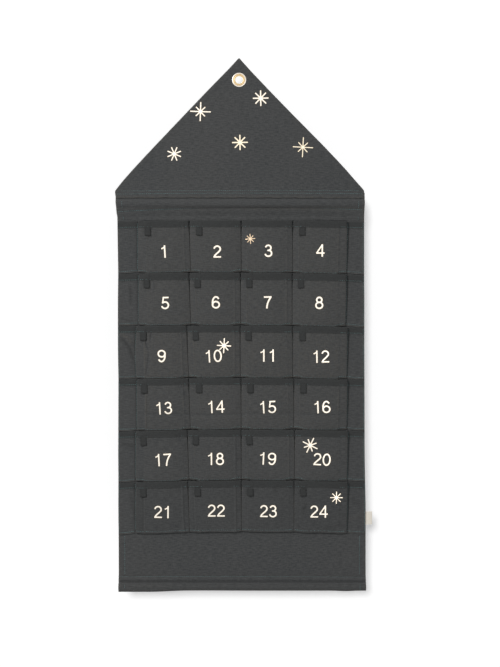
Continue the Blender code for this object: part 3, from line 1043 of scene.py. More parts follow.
@dataclass
class FoilPress:
    """Presses foil shapes on the cloth: a fine grid is trimmed to the shape and laid on the surface."""

    palette: Palette
    cell: float = 0.55 * MM
    rim: float = 1.0 * MM
    gap: float = 0.04 * MM
    foil: float = 0.08 * MM
    margin: float = 2 * MM
    step: float = 0.05 * MM
    passes: int = 4

    def press(
        self,
        name: str,
        body: str,
        strokes: tuple[Stroke, ...],
        scale: float,
        at: tuple[float, float],
        turn: float,
        surface: Surface,
        tone: FoilTone,
    ) -> None:
        """Makes one print.

        Args:
            name: the piece's name.
            body: the body that it moves with.
            strokes: the shape's strokes.
            scale: the metres of one unit of the strokes.
            at: X and Z of the shape's origin.
            turn: how far it is turned, in degrees.
            surface: gives the cloth's face Y for arrays of X and Z.
            tone: how the foil looks.
        """
        reach = [abs(v) * scale for s in strokes for p in s.path for v in p]
        half = max(reach) + self.margin
        count = math.ceil(2 * half / self.cell)
        pick_only()
        bpy.ops.mesh.primitive_grid_add(x_subdivisions=count, y_subdivisions=count, size=2 * half)
        piece = name_piece(name)
        mesh = piece.data
        points = np.zeros(len(mesh.vertices) * 3)
        mesh.vertices.foreach_get("co", points)
        points = points.reshape(-1, 3)
        x, z = points[:, 0].copy(), points[:, 1].copy()

        def far(px: Points, pz: Points) -> Points:
            """Distance of each place from the shape's edge, negative inside it."""
            return np.min([s.far(px / scale, pz / scale) for s in strokes], axis=0) * scale

        edge = far(x, z)
        # The points just outside the edge are moved onto it, so that the grid ends along a clean line
        step = self.step
        near = (edge > 0) & (edge < 1.6 * self.cell)
        for _ in range(self.passes):
            move = np.where(near, np.clip(far(x, z), 0, self.cell), 0)
            gx = (far(x + step, z) - far(x - step, z)) / (2 * step)
            gz = (far(x, z + step) - far(x, z - step)) / (2 * step)
            size = np.maximum(np.hypot(gx, gz), 0.3)
            x, z = x - move * gx / size, z - move * gz / size
        inside = np.clip(-edge / self.rim, 0, 1)
        angle = math.radians(turn)
        placed_x = at[0] + x * math.cos(angle) - z * math.sin(angle)
        placed_z = at[1] + x * math.sin(angle) + z * math.cos(angle)
        placed_y = surface(placed_x, placed_z) - self.gap - self.foil / 2
        placed = np.stack([placed_x, placed_y, placed_z], axis=1)
        corners = np.array([tuple(face.vertices) for face in mesh.polygons])
        drop = (edge[corners] > 0).all(axis=1)
        mesh.vertices.foreach_set("co", placed.ravel())
        set_attribute(piece, "inside", inside)
        remove_faces(piece, drop)
        apply_modifier(piece, "SOLIDIFY", thickness=self.foil, offset=0.0)
        smooth(piece, 40.0)
        self.palette.dress(piece, self.palette.foils[tone])
        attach(piece, body)

    def press_star(self, name: str, body: str, star: Star, surface: Surface) -> None:
        """Makes the print of a star."""
        self.press(name, body, star.strokes(), MM, (star.x * MM, star.z * MM), 0, surface, star.tone)


def number_strokes(text: str, advance: float = 0.745, thinner: float = 0.92) -> tuple[Stroke, ...]:
    """The strokes of a number, set about its own middle; those of two digits are a little thinner."""
    found = []
    width = DIGIT_WIDTH + advance * (len(text) - 1)
    weight = 1.0 if len(text) == 1 else thinner
    for place, digit in enumerate(text):
        dx = place * advance - width / 2
        for stroke in NUMERALS[digit]:
            moved = tuple((x + dx, z - 0.5) for x, z in stroke.path)
            found.append(Stroke(moved, stroke.width * weight, stroke.round_ends))
    return tuple(found)


# The roof


@dataclass
class Roof:
    """The gable: a front and a facing sewn along both slopes, with a turned-up hem over the panel."""

    palette: Palette
    needle: Needle
    outline: PanelOutline
    # Heights with both slopes' X, in millimetres
    slopes: tuple[Triple, ...] = (
        (39.2, -0.2, 0.2),
        (38.4, -1.5, 1.1),
        (35.3, -4.4, 3.8),
        (26.2, -12.7, 12.1),
        (17.1, -21.3, 20.2),
        (-19.3, -56.9, 54.6),
        (-64.8, -100.3, 98.9),
        (-119.4, -152.3, 152.8),
        (-146.7, -177.8, 178.8),
        (-164.9, -194.7, 195.5),
        (-183.1, -210.6, 211.2),
        (-194.0, -219.4, 221.0),
        (-201.3, -225.1, 227.1),
        (-204.2, -225.7, 227.6),
        (-209.0, -225.1, 227.7),
    )
    fold_line: float = 4.8 * MM
    eave_z: float = -0.2040
    hem: SewnLine = SewnLine(-0.2157, 1.4 * MM, 1.8 * MM, 0.9 * MM, middle_x=CENTRE_X)
    upper_seam: SewnLine = SewnLine(-0.2015, -0.8 * MM, 0.3 * MM, 0, middle_x=CENTRE_X)
    hem_seam: SewnLine = SewnLine(-0.2064, -1.6 * MM, 0.2 * MM, -0.9 * MM, middle_x=CENTRE_X)
    facing_edge: SewnLine = SewnLine(-0.2119, 0, 1.5 * MM, 0, middle_x=CENTRE_X)
    hem_depth: float = 9.0 * MM
    allowance: float = 8.5 * MM
    allowance_lift: float = 0.45 * MM
    billow: float = 0.35 * MM
    gather: float = 0.16 * MM
    hem_lift: float = 1.1 * MM
    hem_edge_lift: float = 0.9 * MM
    fold_groove: float = 0.5 * MM
    hem_wave: float = 0.35 * MM
    facing_room: float = 2.1 * MM
    seam_sunk: float = 0.18 * MM
    upper_seam_sunk: float = 0.24 * MM
    eyelet_hole: float = 8.4 * MM
    columns: int = 131
    stars: tuple[Star, ...] = (
        Star(-70.3, -57.7, 17.9, 16.4, 10.9, turn=-2, width=2.3),
        Star(39.3, -33.3, 13.3, 13.2, 12.8, turn=1),
        Star(1.6, -113.9, 13.4, 12.9, 12.6, turn=1, tone=FoilTone.GOLD),
        Star(-118.0, -134.7, 12.3, 12.3, 12.3, turn=22.5, width=2.2),
        Star(116.1, -122.6, 17.7, 17.4, 11.4, turn=-3, tone=FoilTone.GOLD, width=1.9),
    )

    def __post_init__(self) -> None:
        """Closes the gable's outline at its hem, and reads where both layers are from the frame."""
        self.below_x = (float(self.outline.left(self.hem.height)), float(self.outline.right(self.hem.height)))
        below = (self.hem.height / MM, self.below_x[0] / MM, self.below_x[1] / MM)
        self.edge_points = np.array([*self.slopes, below]) * MM
        self.apex_z = float(self.edge_points[0, 0])
        self.left_x, self.right_x = float(self.edge_points[:, 1].min()), float(self.edge_points[:, 2].max())
        self.front_y = (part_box("roof_front")[0].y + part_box("roof_front")[1].y) / 2
        self.back_y = (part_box("roof_back")[0].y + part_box("roof_back")[1].y) / 2

    def edges(self, z: Points) -> tuple[Points, Points]:
        """The left and right edges' X at each height: both slopes belly out towards the eaves."""
        heights, left, right = self.edge_points.T
        return np.interp(-z, -heights, left), np.interp(-z, -heights, right)

    def puff(self, x: Points, z: Points) -> Points:
        """How far each layer stands off the middle of the two, besides its own place."""
        left, right = self.edges(z)
        slope = math.cos(math.radians(45))
        inward = np.minimum(x - left, right - x) * slope
        padded = self.allowance_lift * (1 - ease(inward, self.allowance, self.allowance + 2.5 * MM))
        wide = ease(inward, 20 * MM, 70 * MM)
        return padded + self.billow * wide * (1 + slack(x, z, 2.0))

    def rounding(self, x: Points, z: Points) -> Points:
        """0 on a slope's very edge, where the two layers meet, and 1 within."""
        left, right = self.edges(z)
        inward = np.minimum(x - left, right - x)
        share = np.clip(inward / (1.8 * MM), 0, 1)
        above = ease(z, self.eave_z - 6 * MM, self.eave_z + 2 * MM)
        return 1 - above * (1 - np.sqrt(1 - (1 - share) ** 2))

    def off_eyelet(self, x: Points, z: Points) -> Points:
        """0 where the eyelet presses the cloth flat, and 1 away from it."""
        return ease(np.hypot(x, z), 14 * MM, 26 * MM)

    def front_face(self, x: Points, z: Points) -> Points:
        """Y of the front's middle surface."""
        relief = sum(crease.raised(x, z) for crease in ROOF_CREASES)
        gathers = self.gather * pucker(x, z - self.hem_seam.at(x))
        hem = self.hem_lift * ease(self.hem.at(x) + self.hem_depth + 3 * MM - z, 0, 5 * MM)
        hem = hem + self.hem_edge_lift * ease(self.hem.at(x) + 5 * MM - z, 0, 5 * MM)
        inside_fold = self.edges(z)[1] - self.fold_line - x
        groove = self.fold_groove * bell(inside_fold, 1.0 * MM) * ease(-z, 20 * MM, 60 * MM)
        out = (self.puff(x, z) + relief + gathers - groove) * self.off_eyelet(x, z) + hem
        return (self.front_y - out) * self.rounding(x, z)

    def outer_face(self, x: Points, z: Points) -> Points:
        """Y of the front's outer face."""
        return self.front_face(x, z) - CANVAS / 2

    def back_face(self, x: Points, z: Points) -> Points:
        """Y of the facing's middle surface."""
        room = self.facing_room * ease(self.eave_z - z, -9 * MM, 1 * MM)
        out = self.puff(x, z) * 0.7 * self.off_eyelet(x, z) + room
        return (self.back_y + out) * self.rounding(x, z)

    def heights(self, bottom: Points) -> Points:
        """Rows of heights from the apex down to a bottom line, closer near the apex."""
        shares = np.concatenate([np.linspace(0, 0.03, 7)[:-1], np.linspace(0.03, 1, 100)])
        return self.apex_z - shares[:, None] * (self.apex_z - bottom[None, :])

    def build(self) -> None:
        """Makes both layers, their stitches and the stars."""
        self.build_front()
        self.build_facing()
        self.build_stitches()
        press = FoilPress(self.palette)
        for number, star in enumerate(self.stars, 1):
            press.press_star(f"roof_star_{number}", "roof", star, self.outer_face)
        LOG.info("roof: front, facing, stitches and %d stars", len(self.stars))

    def layer(self, name: str, face: Surface, bottom: SewnLine, hem: bool) -> bpy.types.Object:
        """One layer of the gable.

        Args:
            name: the piece's name.
            face: gives the layer's Y.
            bottom: its lower edge.
            hem: if that edge is turned up behind.

        Returns:
            The layer.
        """
        shares = crowded(self.columns)
        across = self.left_x + shares * (self.right_x - self.left_x)
        wave = self.hem_wave * (np.sin(across * 137.0 + 1.0) + 0.6 * np.sin(across * 263.0)) * hem
        z = self.heights(bottom.at(across) + wave)
        left, right = self.edges(z)
        x = left + shares[None, :] * (right - left)
        y = face(x, z)
        if hem:
            fold = CANVAS / 2 + 0.15 * MM
            turns = np.linspace(0.2, 1, 5) * math.pi
            under_y = np.stack([y[-1] + fold * (1 - np.cos(t)) for t in turns])
            under_z = np.stack([z[-1] - fold * np.sin(t) for t in turns])
            up_y = np.stack([y[-1] + 2 * fold] * 3)
            up_z = np.stack([z[-1] + self.hem_depth * s for s in (0.33, 0.66, 1)])
            x = np.vstack([x] + [x[-1:]] * 8)
            y = np.vstack([y, under_y, up_y])
            z = np.vstack([z, under_z, up_z])
        place = np.stack([x, y, z], axis=-1)
        down = along(place[:, self.columns // 2])
        flat = np.stack([x, -np.broadcast_to(down[:, None], x.shape)], axis=-1)
        edge = fade(np.minimum(np.abs(x - x[:, :1]), np.abs(x[:, -1:] - x)), 1.6 * MM)
        low = fade(np.abs(z - bottom.at(x)), 1.4 * MM)
        sheet = shaped_sheet(name, place, flat, np.clip(edge + low, 0, 1))
        faces = np.array([tuple(face.vertices) for face in sheet.data.polygons])
        at = np.array([tuple(v.co) for v in sheet.data.vertices])
        far = np.hypot(at[:, 0], at[:, 2])
        remove_faces(sheet, (far[faces] < self.eyelet_hole).any(axis=1))
        self.palette.make_up(sheet, CANVAS, self.palette.canvas, 50)
        return sheet

    def build_front(self) -> None:
        """The front of the gable."""
        front = self.layer("roof_front_cloth", self.front_face, self.hem, hem=True)
        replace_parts(front, "roof_front")
        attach(front, "roof")

    def build_facing(self) -> None:
        """The facing behind it."""
        facing = self.layer("roof_facing_cloth", self.back_face, self.facing_edge, hem=False)
        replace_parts(facing, "roof_back")
        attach(facing, "roof")

    def build_stitches(self) -> None:
        """The two rows of stitches along the roof's lower edge, front and back."""
        left, right = self.below_x
        x = np.linspace(left + 2 * MM, right - 2 * MM, 220)
        z = self.hem_seam.at(x)
        rows = [row_of(x, self.outer_face(x, z) + self.seam_sunk, z, FRONT)]
        rows.append(row_of(x, self.back_face(x, z) + CANVAS / 2, z, BACK))
        x = np.linspace(left + 9 * MM, right - 8 * MM, 160)
        z = self.upper_seam.at(x)
        rows.append(row_of(x, self.outer_face(x, z) + self.upper_seam_sunk, z, FRONT))
        self.needle.sew("roof_hem_stitches", "roof", rows)


# The eyelet


@dataclass
class Eyelet:
    """A two-part eyelet: a barrel with a rolled flange in front, and a dished ring behind."""

    palette: Palette
    steps: int = 96
    metal: float = 0.45 * MM
    bore: float = 6.95 * MM
    rim: float = 12.85 * MM
    cloth_front: float = -1.05 * MM
    cloth_back: float = 1.05 * MM
    # Steps of the flange from its rim inwards, and how far each is off its seat towards the front, in mm
    flange_steps: Path = (
        (0.00, -0.15),
        (0.05, 0.30),
        (0.50, 0.66),
        (1.10, 0.78),
        (1.75, 0.66),
        (2.15, 0.20),
        (2.40, 0.05),
        (2.65, 0.30),
        (2.95, 0.34),
        (3.20, 0.02),
    )
    roll_inward: float = 3.35 * MM
    roll_seat: float = 0.1 * MM
    roll_rise: float = 1.25 * MM
    roll_steps: int = 10
    # Steps of the barrel's rolled rear end, outwards from its wall and back from the washer, in mm
    clinch_steps: Path = ((0.0, 0.0), (0.25, 0.5), (0.9, 0.72), (1.5, 0.45))

    def turned(self, name: str, profile: list[tuple[float, float]]) -> bpy.types.Object:
        """Sheet metal spun about the eyelet's axis.

        Args:
            name: the piece's name.
            profile: points of radius and Y, in metres.

        Returns:
            The turned piece.
        """
        pick_only()
        bpy.ops.mesh.primitive_circle_add(vertices=len(profile), radius=1, fill_type="NOTHING")
        piece = name_piece(name)
        work = bmesh.new()
        work.from_mesh(piece.data)
        work.verts.ensure_lookup_table()
        for vertex, (radius, y) in zip(work.verts, profile):
            vertex.co = (radius, y, 0)
        closing = [edge for edge in work.edges if {v.index for v in edge.verts} == {0, len(profile) - 1}]
        bmesh.ops.delete(work, geom=closing, context="EDGES")
        work.to_mesh(piece.data)
        work.free()
        bpy.ops.object.mode_set(mode="EDIT")
        bpy.ops.mesh.select_all(action="SELECT")
        bpy.ops.mesh.spin(steps=self.steps, angle=2 * math.pi, center=(0, 0, 0), axis=(0, 1, 0))
        bpy.ops.mesh.select_all(action="SELECT")
        bpy.ops.mesh.remove_doubles(threshold=0.01 * MM)
        bpy.ops.mesh.normals_make_consistent(inside=False)
        bpy.ops.object.mode_set(mode="OBJECT")
        thicken(piece, self.metal)
        smooth(piece, 35)
        self.palette.dress(piece, self.palette.eyelet)
        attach(piece, "roof")
        return piece

    def build(self) -> None:
        """Makes both parts."""
        seat = self.cloth_front - self.metal / 2
        wall = self.bore + self.metal / 2
        rim = self.rim - self.metal / 2
        flange = [(rim - inward * MM, seat - out * MM) for inward, out in self.flange_steps]
        outer = rim - self.roll_inward
        for step in range(self.roll_steps + 1):
            angle = math.pi * step / self.roll_steps
            x = (outer + wall) / 2 + (outer - wall) / 2 * math.cos(angle)
            flange.append((x, seat - self.roll_seat - self.roll_rise * math.sin(angle)))
        behind = self.cloth_back + self.metal
        flange.append((wall, -0.4 * MM))
        flange += [(wall + outward * MM, behind + rise * MM) for outward, rise in self.clinch_steps]
        ring = self.turned("eyelet_ring", flange)
        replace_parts(ring, "eyelet_barrel")
        inner = wall + self.metal
        back = self.cloth_back + self.metal / 2
        washer = [
            (inner, back + 0.12 * MM),
            (inner + 1.2 * MM, back + 0.3 * MM),
            (self.rim - 2.4 * MM, back + 0.3 * MM),
            (self.rim - 1.0 * MM, back + 0.16 * MM),
            (self.rim - 0.3 * MM, back - 0.05 * MM),
        ]
        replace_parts(self.turned("eyelet_back_ring", washer), "eyelet_washer")
        LOG.info("eyelet: ring and back ring")


# The panel


@dataclass
class BodyPanel:
    """The sheet that carries the pockets: hems folded behind, and both ends folded round the rods."""

    palette: Palette
    needle: Needle
    outline: PanelOutline
    casing_radius: float = 7.1 * MM
    side_hem: float = 12 * MM
    edge_round: float = 0.35 * MM
    seam_y: float = -2.6 * MM
    upper_stitch: SewnLine = SewnLine(-0.2355, -4.5 * MM, 3.0 * MM, -1.2 * MM, middle_x=CENTRE_X)
    lower_stitch: SewnLine = SewnLine(-0.9047, 0.3 * MM, 0.8 * MM, -0.6 * MM, middle_x=CENTRE_X)
    # Points of the fold over the rod: Y in millimetres, and Z
    fold_points: Path = (
        (2.3, -0.2120),
        (1.45, -0.2090),
        (1.35, -0.2068),
        (0.9, -0.2060),
        (0.42, -0.2068),
        (0.35, -0.2100),
        (0.40, -0.2130),
        (0.10, -0.2152),
    )
    # Y and the rise over the upper stitches, in millimetres, and how much each point follows them
    over_stitch: tuple[Triple, ...] = ((-5.6, 3.1, 0.16), (-4.5, 1.7, 0.45), (-3.4, 0.5, 0.8))
    # Share of the way back to the pockets' plane, fall below the stitches in millimetres, and following
    under_stitch: tuple[Triple, ...] = (
        (0.03, 1.5, 1.0),
        (0.18, 4.0, 0.85),
        (0.55, 8.0, 0.65),
        (0.85, 11.0, 0.45),
    )
    # Y and the fall below the lower stitches, in millimetres, and following
    over_lower_rod: tuple[Triple, ...] = (
        (-1.5, 0.8, 0.9),
        (-3.2, 2.2, 0.7),
        (-4.0, 3.6, 0.5),
        (-3.9, 5.0, 0.35),
        (-3.1, 6.4, 0.25),
        (-2.2, 7.7, 0.15),
        (-1.8, 8.9, 0.1),
        (-2.2, 9.9, 0.0),
        (-4.4, 10.8, 0.0),
        (-6.8, 11.7, 0.0),
    )
    # Depths below the eyelet between which the bare band ends, the sheet juts over the first mouths as a
    # lip and falls back, and the lower bare part begins
    band_ends: tuple[float, float] = (0.252, 0.257)
    lip_juts: tuple[float, float] = (0.2474, 0.2562)
    lip_falls: tuple[float, float] = (0.2565, 0.2576)
    bare_begins: tuple[float, float] = (0.828, 0.842)
    lip: float = 4.5 * MM
    columns: int = 111
    lip_between: tuple[float, float] = (-0.186, 0.198)
    billow: float = 0.5 * MM
    gather: float = 0.25 * MM
    # How far the lower edge hangs down at the left, and the depth, X and reach of its other sags
    left_sag: float = 2.2 * MM
    sags: tuple[Triple, ...] = ((0.9 * MM, 0.193, 0.016), (-0.3 * MM, -0.06, 0.05))
    # Each band of painted highlight, or of painted shade below 0, along both casings' stitches and over the
    # lower rod: its height, its reach, and its tone at the left and at the right
    rubbed: tuple[tuple[float, float, float, float], ...] = (
        (-0.2338, 3.2 * MM, 0.18, 0.50),
        (-0.9015, 4.0 * MM, 0.12, 0.12),
        (-0.9149, 1.3 * MM, -0.30, -0.30),
        (-0.9200, 2.2 * MM, 0.18, 0.18),
    )

    def __post_init__(self) -> None:
        """Reads the sheet's planes and the rods' places from the frame."""
        low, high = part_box("body_panel")
        self.bottom_z = low.z
        self.rear_y = high.y - CANVAS / 2
        self.front_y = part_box("roof_back")[0].y + CANVAS / 2
        rods = [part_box(name) for name in ("upper_rod", "lower_rod")]
        self.rod_y = (rods[0][0].y + rods[0][1].y) / 2
        self.upper_rod_z, self.lower_rod_z = ((a.z + b.z) / 2 for a, b in rods)

    def section(self) -> tuple[Points, Points, Points]:
        """The sheet's middle line from the hem behind the upper rod to the one behind the lower.

        Returns:
            Y and Z of its points, and for each how much it follows the upper and the lower stitch line.
        """
        rear, front, seam_y = self.rear_y, self.front_y, self.seam_y
        high, low = self.upper_stitch.height, self.lower_stitch.height
        behind = seam_y + LAYER
        # The upper hem, and the way up behind the rod to the fold
        upper = [(behind + 0.2 * MM, high - 4.5 * MM, 1.0), (behind, high, 1.0)]
        upper += [(0.6 * MM, high + 1.7 * MM, 0.6), (2.8 * MM, -0.2298, 0.1)]
        upper += [(rear, z, 0.0) for z in (-0.2270, -0.2230, -0.2190)]
        upper += [(rear - 0.5 * MM, -0.2155, 0.0)]
        upper += [(y * MM, z, 0.0) for y, z in self.fold_points]
        # Round the rod's front, through the stitches and down to the pockets' plane
        for degrees in (38, 50, 62, 74, 86, 98, 110, 122, 134, 144):
            radius = self.casing_radius - 0.6 * MM - 1.0 * MM * float(ease(degrees, 45, 95))
            y, z = self.round_rod(degrees, radius, self.upper_rod_z)
            upper.append((y, z, float(0.1 * ease(degrees, 110, 150))))
        upper += [(y * MM, high + rise * MM, follow) for y, rise, follow in self.over_stitch]
        upper.append((seam_y, high, 1.0))
        for share, fall, follow in self.under_stitch:
            upper.append((seam_y + (front - seam_y) * share, high - fall * MM, follow))
        upper.append((front, high - 14 * MM, 0.3))
        levels = [-0.2515, -0.2532, -0.2548, -0.2560, -0.2568, -0.2575, *np.linspace(-0.258, -0.815, 40)]
        upper += [(front, float(z), 0.0) for z in (*levels, *np.linspace(-0.818, -0.897, 26))]
        # Through the lower stitches, round the lower rod and up behind it
        lower = [(front, low + 3 * MM, 1.0), (front, low, 1.0)]
        lower += [(y * MM, low - fall * MM, follow) for y, fall, follow in self.over_lower_rod]
        for degrees in range(52, 262, 14):
            lower.append((*self.round_rod(degrees, self.casing_radius, self.lower_rod_z), 0.0))
        lower += [(rear, self.lower_rod_z + 3 * MM, 0.0), (rear, low - 6 * MM, 0.0)]
        lower += [(rear, low, 1.0), (rear, low + 4.5 * MM, 1.0)]
        y, z, follow = np.array(upper + lower).T
        by_upper = np.arange(len(y)) < len(upper)
        return np.stack([y, z], axis=1), follow * by_upper, follow * ~by_upper

    def round_rod(self, degrees: Points | float, radius: float, height: float) -> tuple[Points, Points]:
        """Y and Z of a place round a rod, by its degrees from straight up towards the front."""
        angle = np.radians(degrees)
        return self.rod_y - radius * np.sin(angle), height + radius * np.cos(angle)

    def face(self, x: Points, z: Points) -> Points:
        """How far the bare parts of the sheet stand out."""
        relief = sum(crease.raised(x, z) for crease in BAND_CREASES)
        lower = ease(-z, *self.bare_begins) * ease(z - self.lower_stitch.at(x), 1.5 * MM, 9 * MM)
        band = ease(self.upper_stitch.at(x) - z, 1.0 * MM, 6 * MM) * (1 - ease(-z, *self.band_ends))
        waves = self.billow * (1 + slack(x * 1.4, z * 1.4, 5.0))
        gathers = self.gather * pucker(x, z - self.lower_stitch.at(x), 9 * MM)
        gathers += self.gather * pucker(x, z - self.upper_stitch.at(x), 7 * MM)
        left, right = self.lip_between
        by_pockets = ease(np.minimum(x - left, right - x), 0, 12 * MM)
        lip = self.lip * by_pockets * ease(-z, *self.lip_juts) * (1 - ease(-z, *self.lip_falls))
        return (relief + waves + np.abs(gathers)) * (lower + band) + lip

    def wear(self, x: Points, z: Points) -> Points:
        """Painted highlights, and painted shade below 0, along the front's level bands by both casings."""
        found = np.zeros_like(x)
        for height, reach, at_left, at_right in self.rubbed:
            tone = at_left + (at_right - at_left) * ease(x, -0.03, 0.06)
            found = found + tone * bell(z - height, reach)
        return found

    def sagged(self, x: Points, z: Points) -> Points:
        """How far the lower casing's edge hangs below its nominal line."""
        at_left = self.left_sag * (1 - ease(x, -0.162, -0.095))
        elsewhere = sum(depth * bell(x - middle, reach) for depth, middle, reach in self.sags)
        return ease(-z, 0.918, 0.927) * (at_left + elsewhere)

    def build(self) -> None:
        """Makes the sheet and its own stitches."""
        line, upper, lower = self.section()
        y0, z0 = line[:, 0][:, None], line[:, 1][:, None]
        ways = np.gradient(line, axis=0)
        ways /= np.linalg.norm(ways, axis=1)[:, None]
        # The way to the cloth's rear side, at the right of the path's direction
        rear = np.stack([-ways[:, 1], ways[:, 0]], axis=1)
        left, right = self.outline.left(z0), self.outline.right(z0)
        # Each column's way in from the edge and its way behind the sheet: the hem, then its turned edge
        turned = [(share * self.side_hem, LAYER) for share in (1.0, 0.66, 0.33, 0.0)]
        turned += [(-self.edge_round, LAYER * 0.75), (-self.edge_round, LAYER * 0.25)]
        blocks = [(left + inset, gap) for inset, gap in turned]
        blocks += [(left + share * (right - left), 0.0) for share in crowded(self.columns, 0.10)]
        blocks += [(right - inset, gap) for inset, gap in turned[::-1]]
        x = np.concatenate([b[0] for b in blocks], axis=1)
        back = np.concatenate([np.full_like(y0, b[1]) for b in blocks], axis=1)
        z = z0 + upper[:, None] * (self.upper_stitch.at(x) - self.upper_stitch.height)
        z = z + lower[:, None] * (self.lower_stitch.at(x) - self.lower_stitch.height)
        y = y0 + back * rear[:, :1]
        z = z + back * rear[:, 1:]
        z = z - self.sagged(x, z)
        row = np.arange(len(y0))[:, None]
        seam = int(np.argmax((np.abs(y0 - self.seam_y) < 0.01 * MM).ravel() & (upper == 1)))
        below_seam = (row > seam) & (y0 > self.seam_y) & (y0 < self.front_y + 0.01 * MM)
        front_part = below_seam & (z > self.lower_stitch.height - 4 * MM) & (back < 0.01 * MM)
        y = y - np.where(front_part, self.face(x, z), 0)
        place = np.stack([x, y, z], axis=-1)
        down = along(line)
        across = np.concatenate([[0], np.cumsum(np.abs(np.diff(x[len(x) // 2])))])
        flat = np.stack(np.broadcast_arrays(across[None, :], -down[:, None]), axis=-1)
        edge = fade(np.minimum(x - left, right - x), 1.5 * MM)
        tube = bell(z0 - self.bottom_z, 4 * MM)
        # The front takes the painted bands of highlight and shade; the side edges and the lower fold are
        # paler
        wear = edge + 0.6 * tube + self.wear(x, z) * (y < self.front_y + 0.01 * MM)
        sheet = shaped_sheet("panel_cloth", place, flat, np.clip(wear, -1, 1))
        self.palette.make_up(sheet, CANVAS, self.palette.canvas)
        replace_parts(sheet, "body_panel")
        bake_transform(sheet)
        self.build_stitches()
        LOG.info("panel: one sheet and its stitches")

    def build_stitches(self) -> None:
        """Rows along both casings and both side hems."""
        half = CANVAS / 2
        rows = []
        left, right = float(self.outline.left(-0.24)), float(self.outline.right(-0.24))
        x = np.linspace(left + 2 * MM, right - 2 * MM, 220)
        seams = (
            (self.upper_stitch, self.seam_y, self.seam_y + LAYER),
            (self.lower_stitch, self.front_y, self.rear_y),
        )
        for line, before, behind in seams:
            rows.append(row_of(x, before - half - CLEAR, line.at(x), FRONT))
            rows.append(row_of(x, behind + half, line.at(x), BACK))
        for side, edge in ((1, self.outline.left), (-1, self.outline.right)):
            inset = side * (self.side_hem - 1.6 * MM)
            for top, bottom in ((-0.238, -0.2565), (-0.830, -0.902)):
                z = np.linspace(top, bottom, 30)
                x = edge(z) + inset
                rows.append(row_of(x, self.front_y - half - self.face(x, z), z, FRONT))
            z = np.linspace(-0.244, -0.898, 60)
            rows.append(row_of(edge(z) + inset, self.front_y + LAYER + half, z, BACK))
            # Across the fronts of both casings
            for start, end, middle in ((150, 42, self.upper_rod_z), (50, 165, self.lower_rod_z)):
                degrees = np.linspace(start, end, 16)
                y, z = self.round_rod(degrees, self.casing_radius + half, middle)
                angles = np.radians(degrees)
                out = np.stack([np.zeros_like(z), -np.sin(angles), np.cos(angles)], axis=1)
                keep = (z < -0.2185) & (z > -0.2330) | (z < -0.9100)
                if keep.sum() > 2:
                    rows.append(row_of((edge(z) + inset)[keep], y[keep], z[keep], out[keep]))
        self.needle.sew("panel_stitches", "pocket_panel", rows)


# The pocket rows


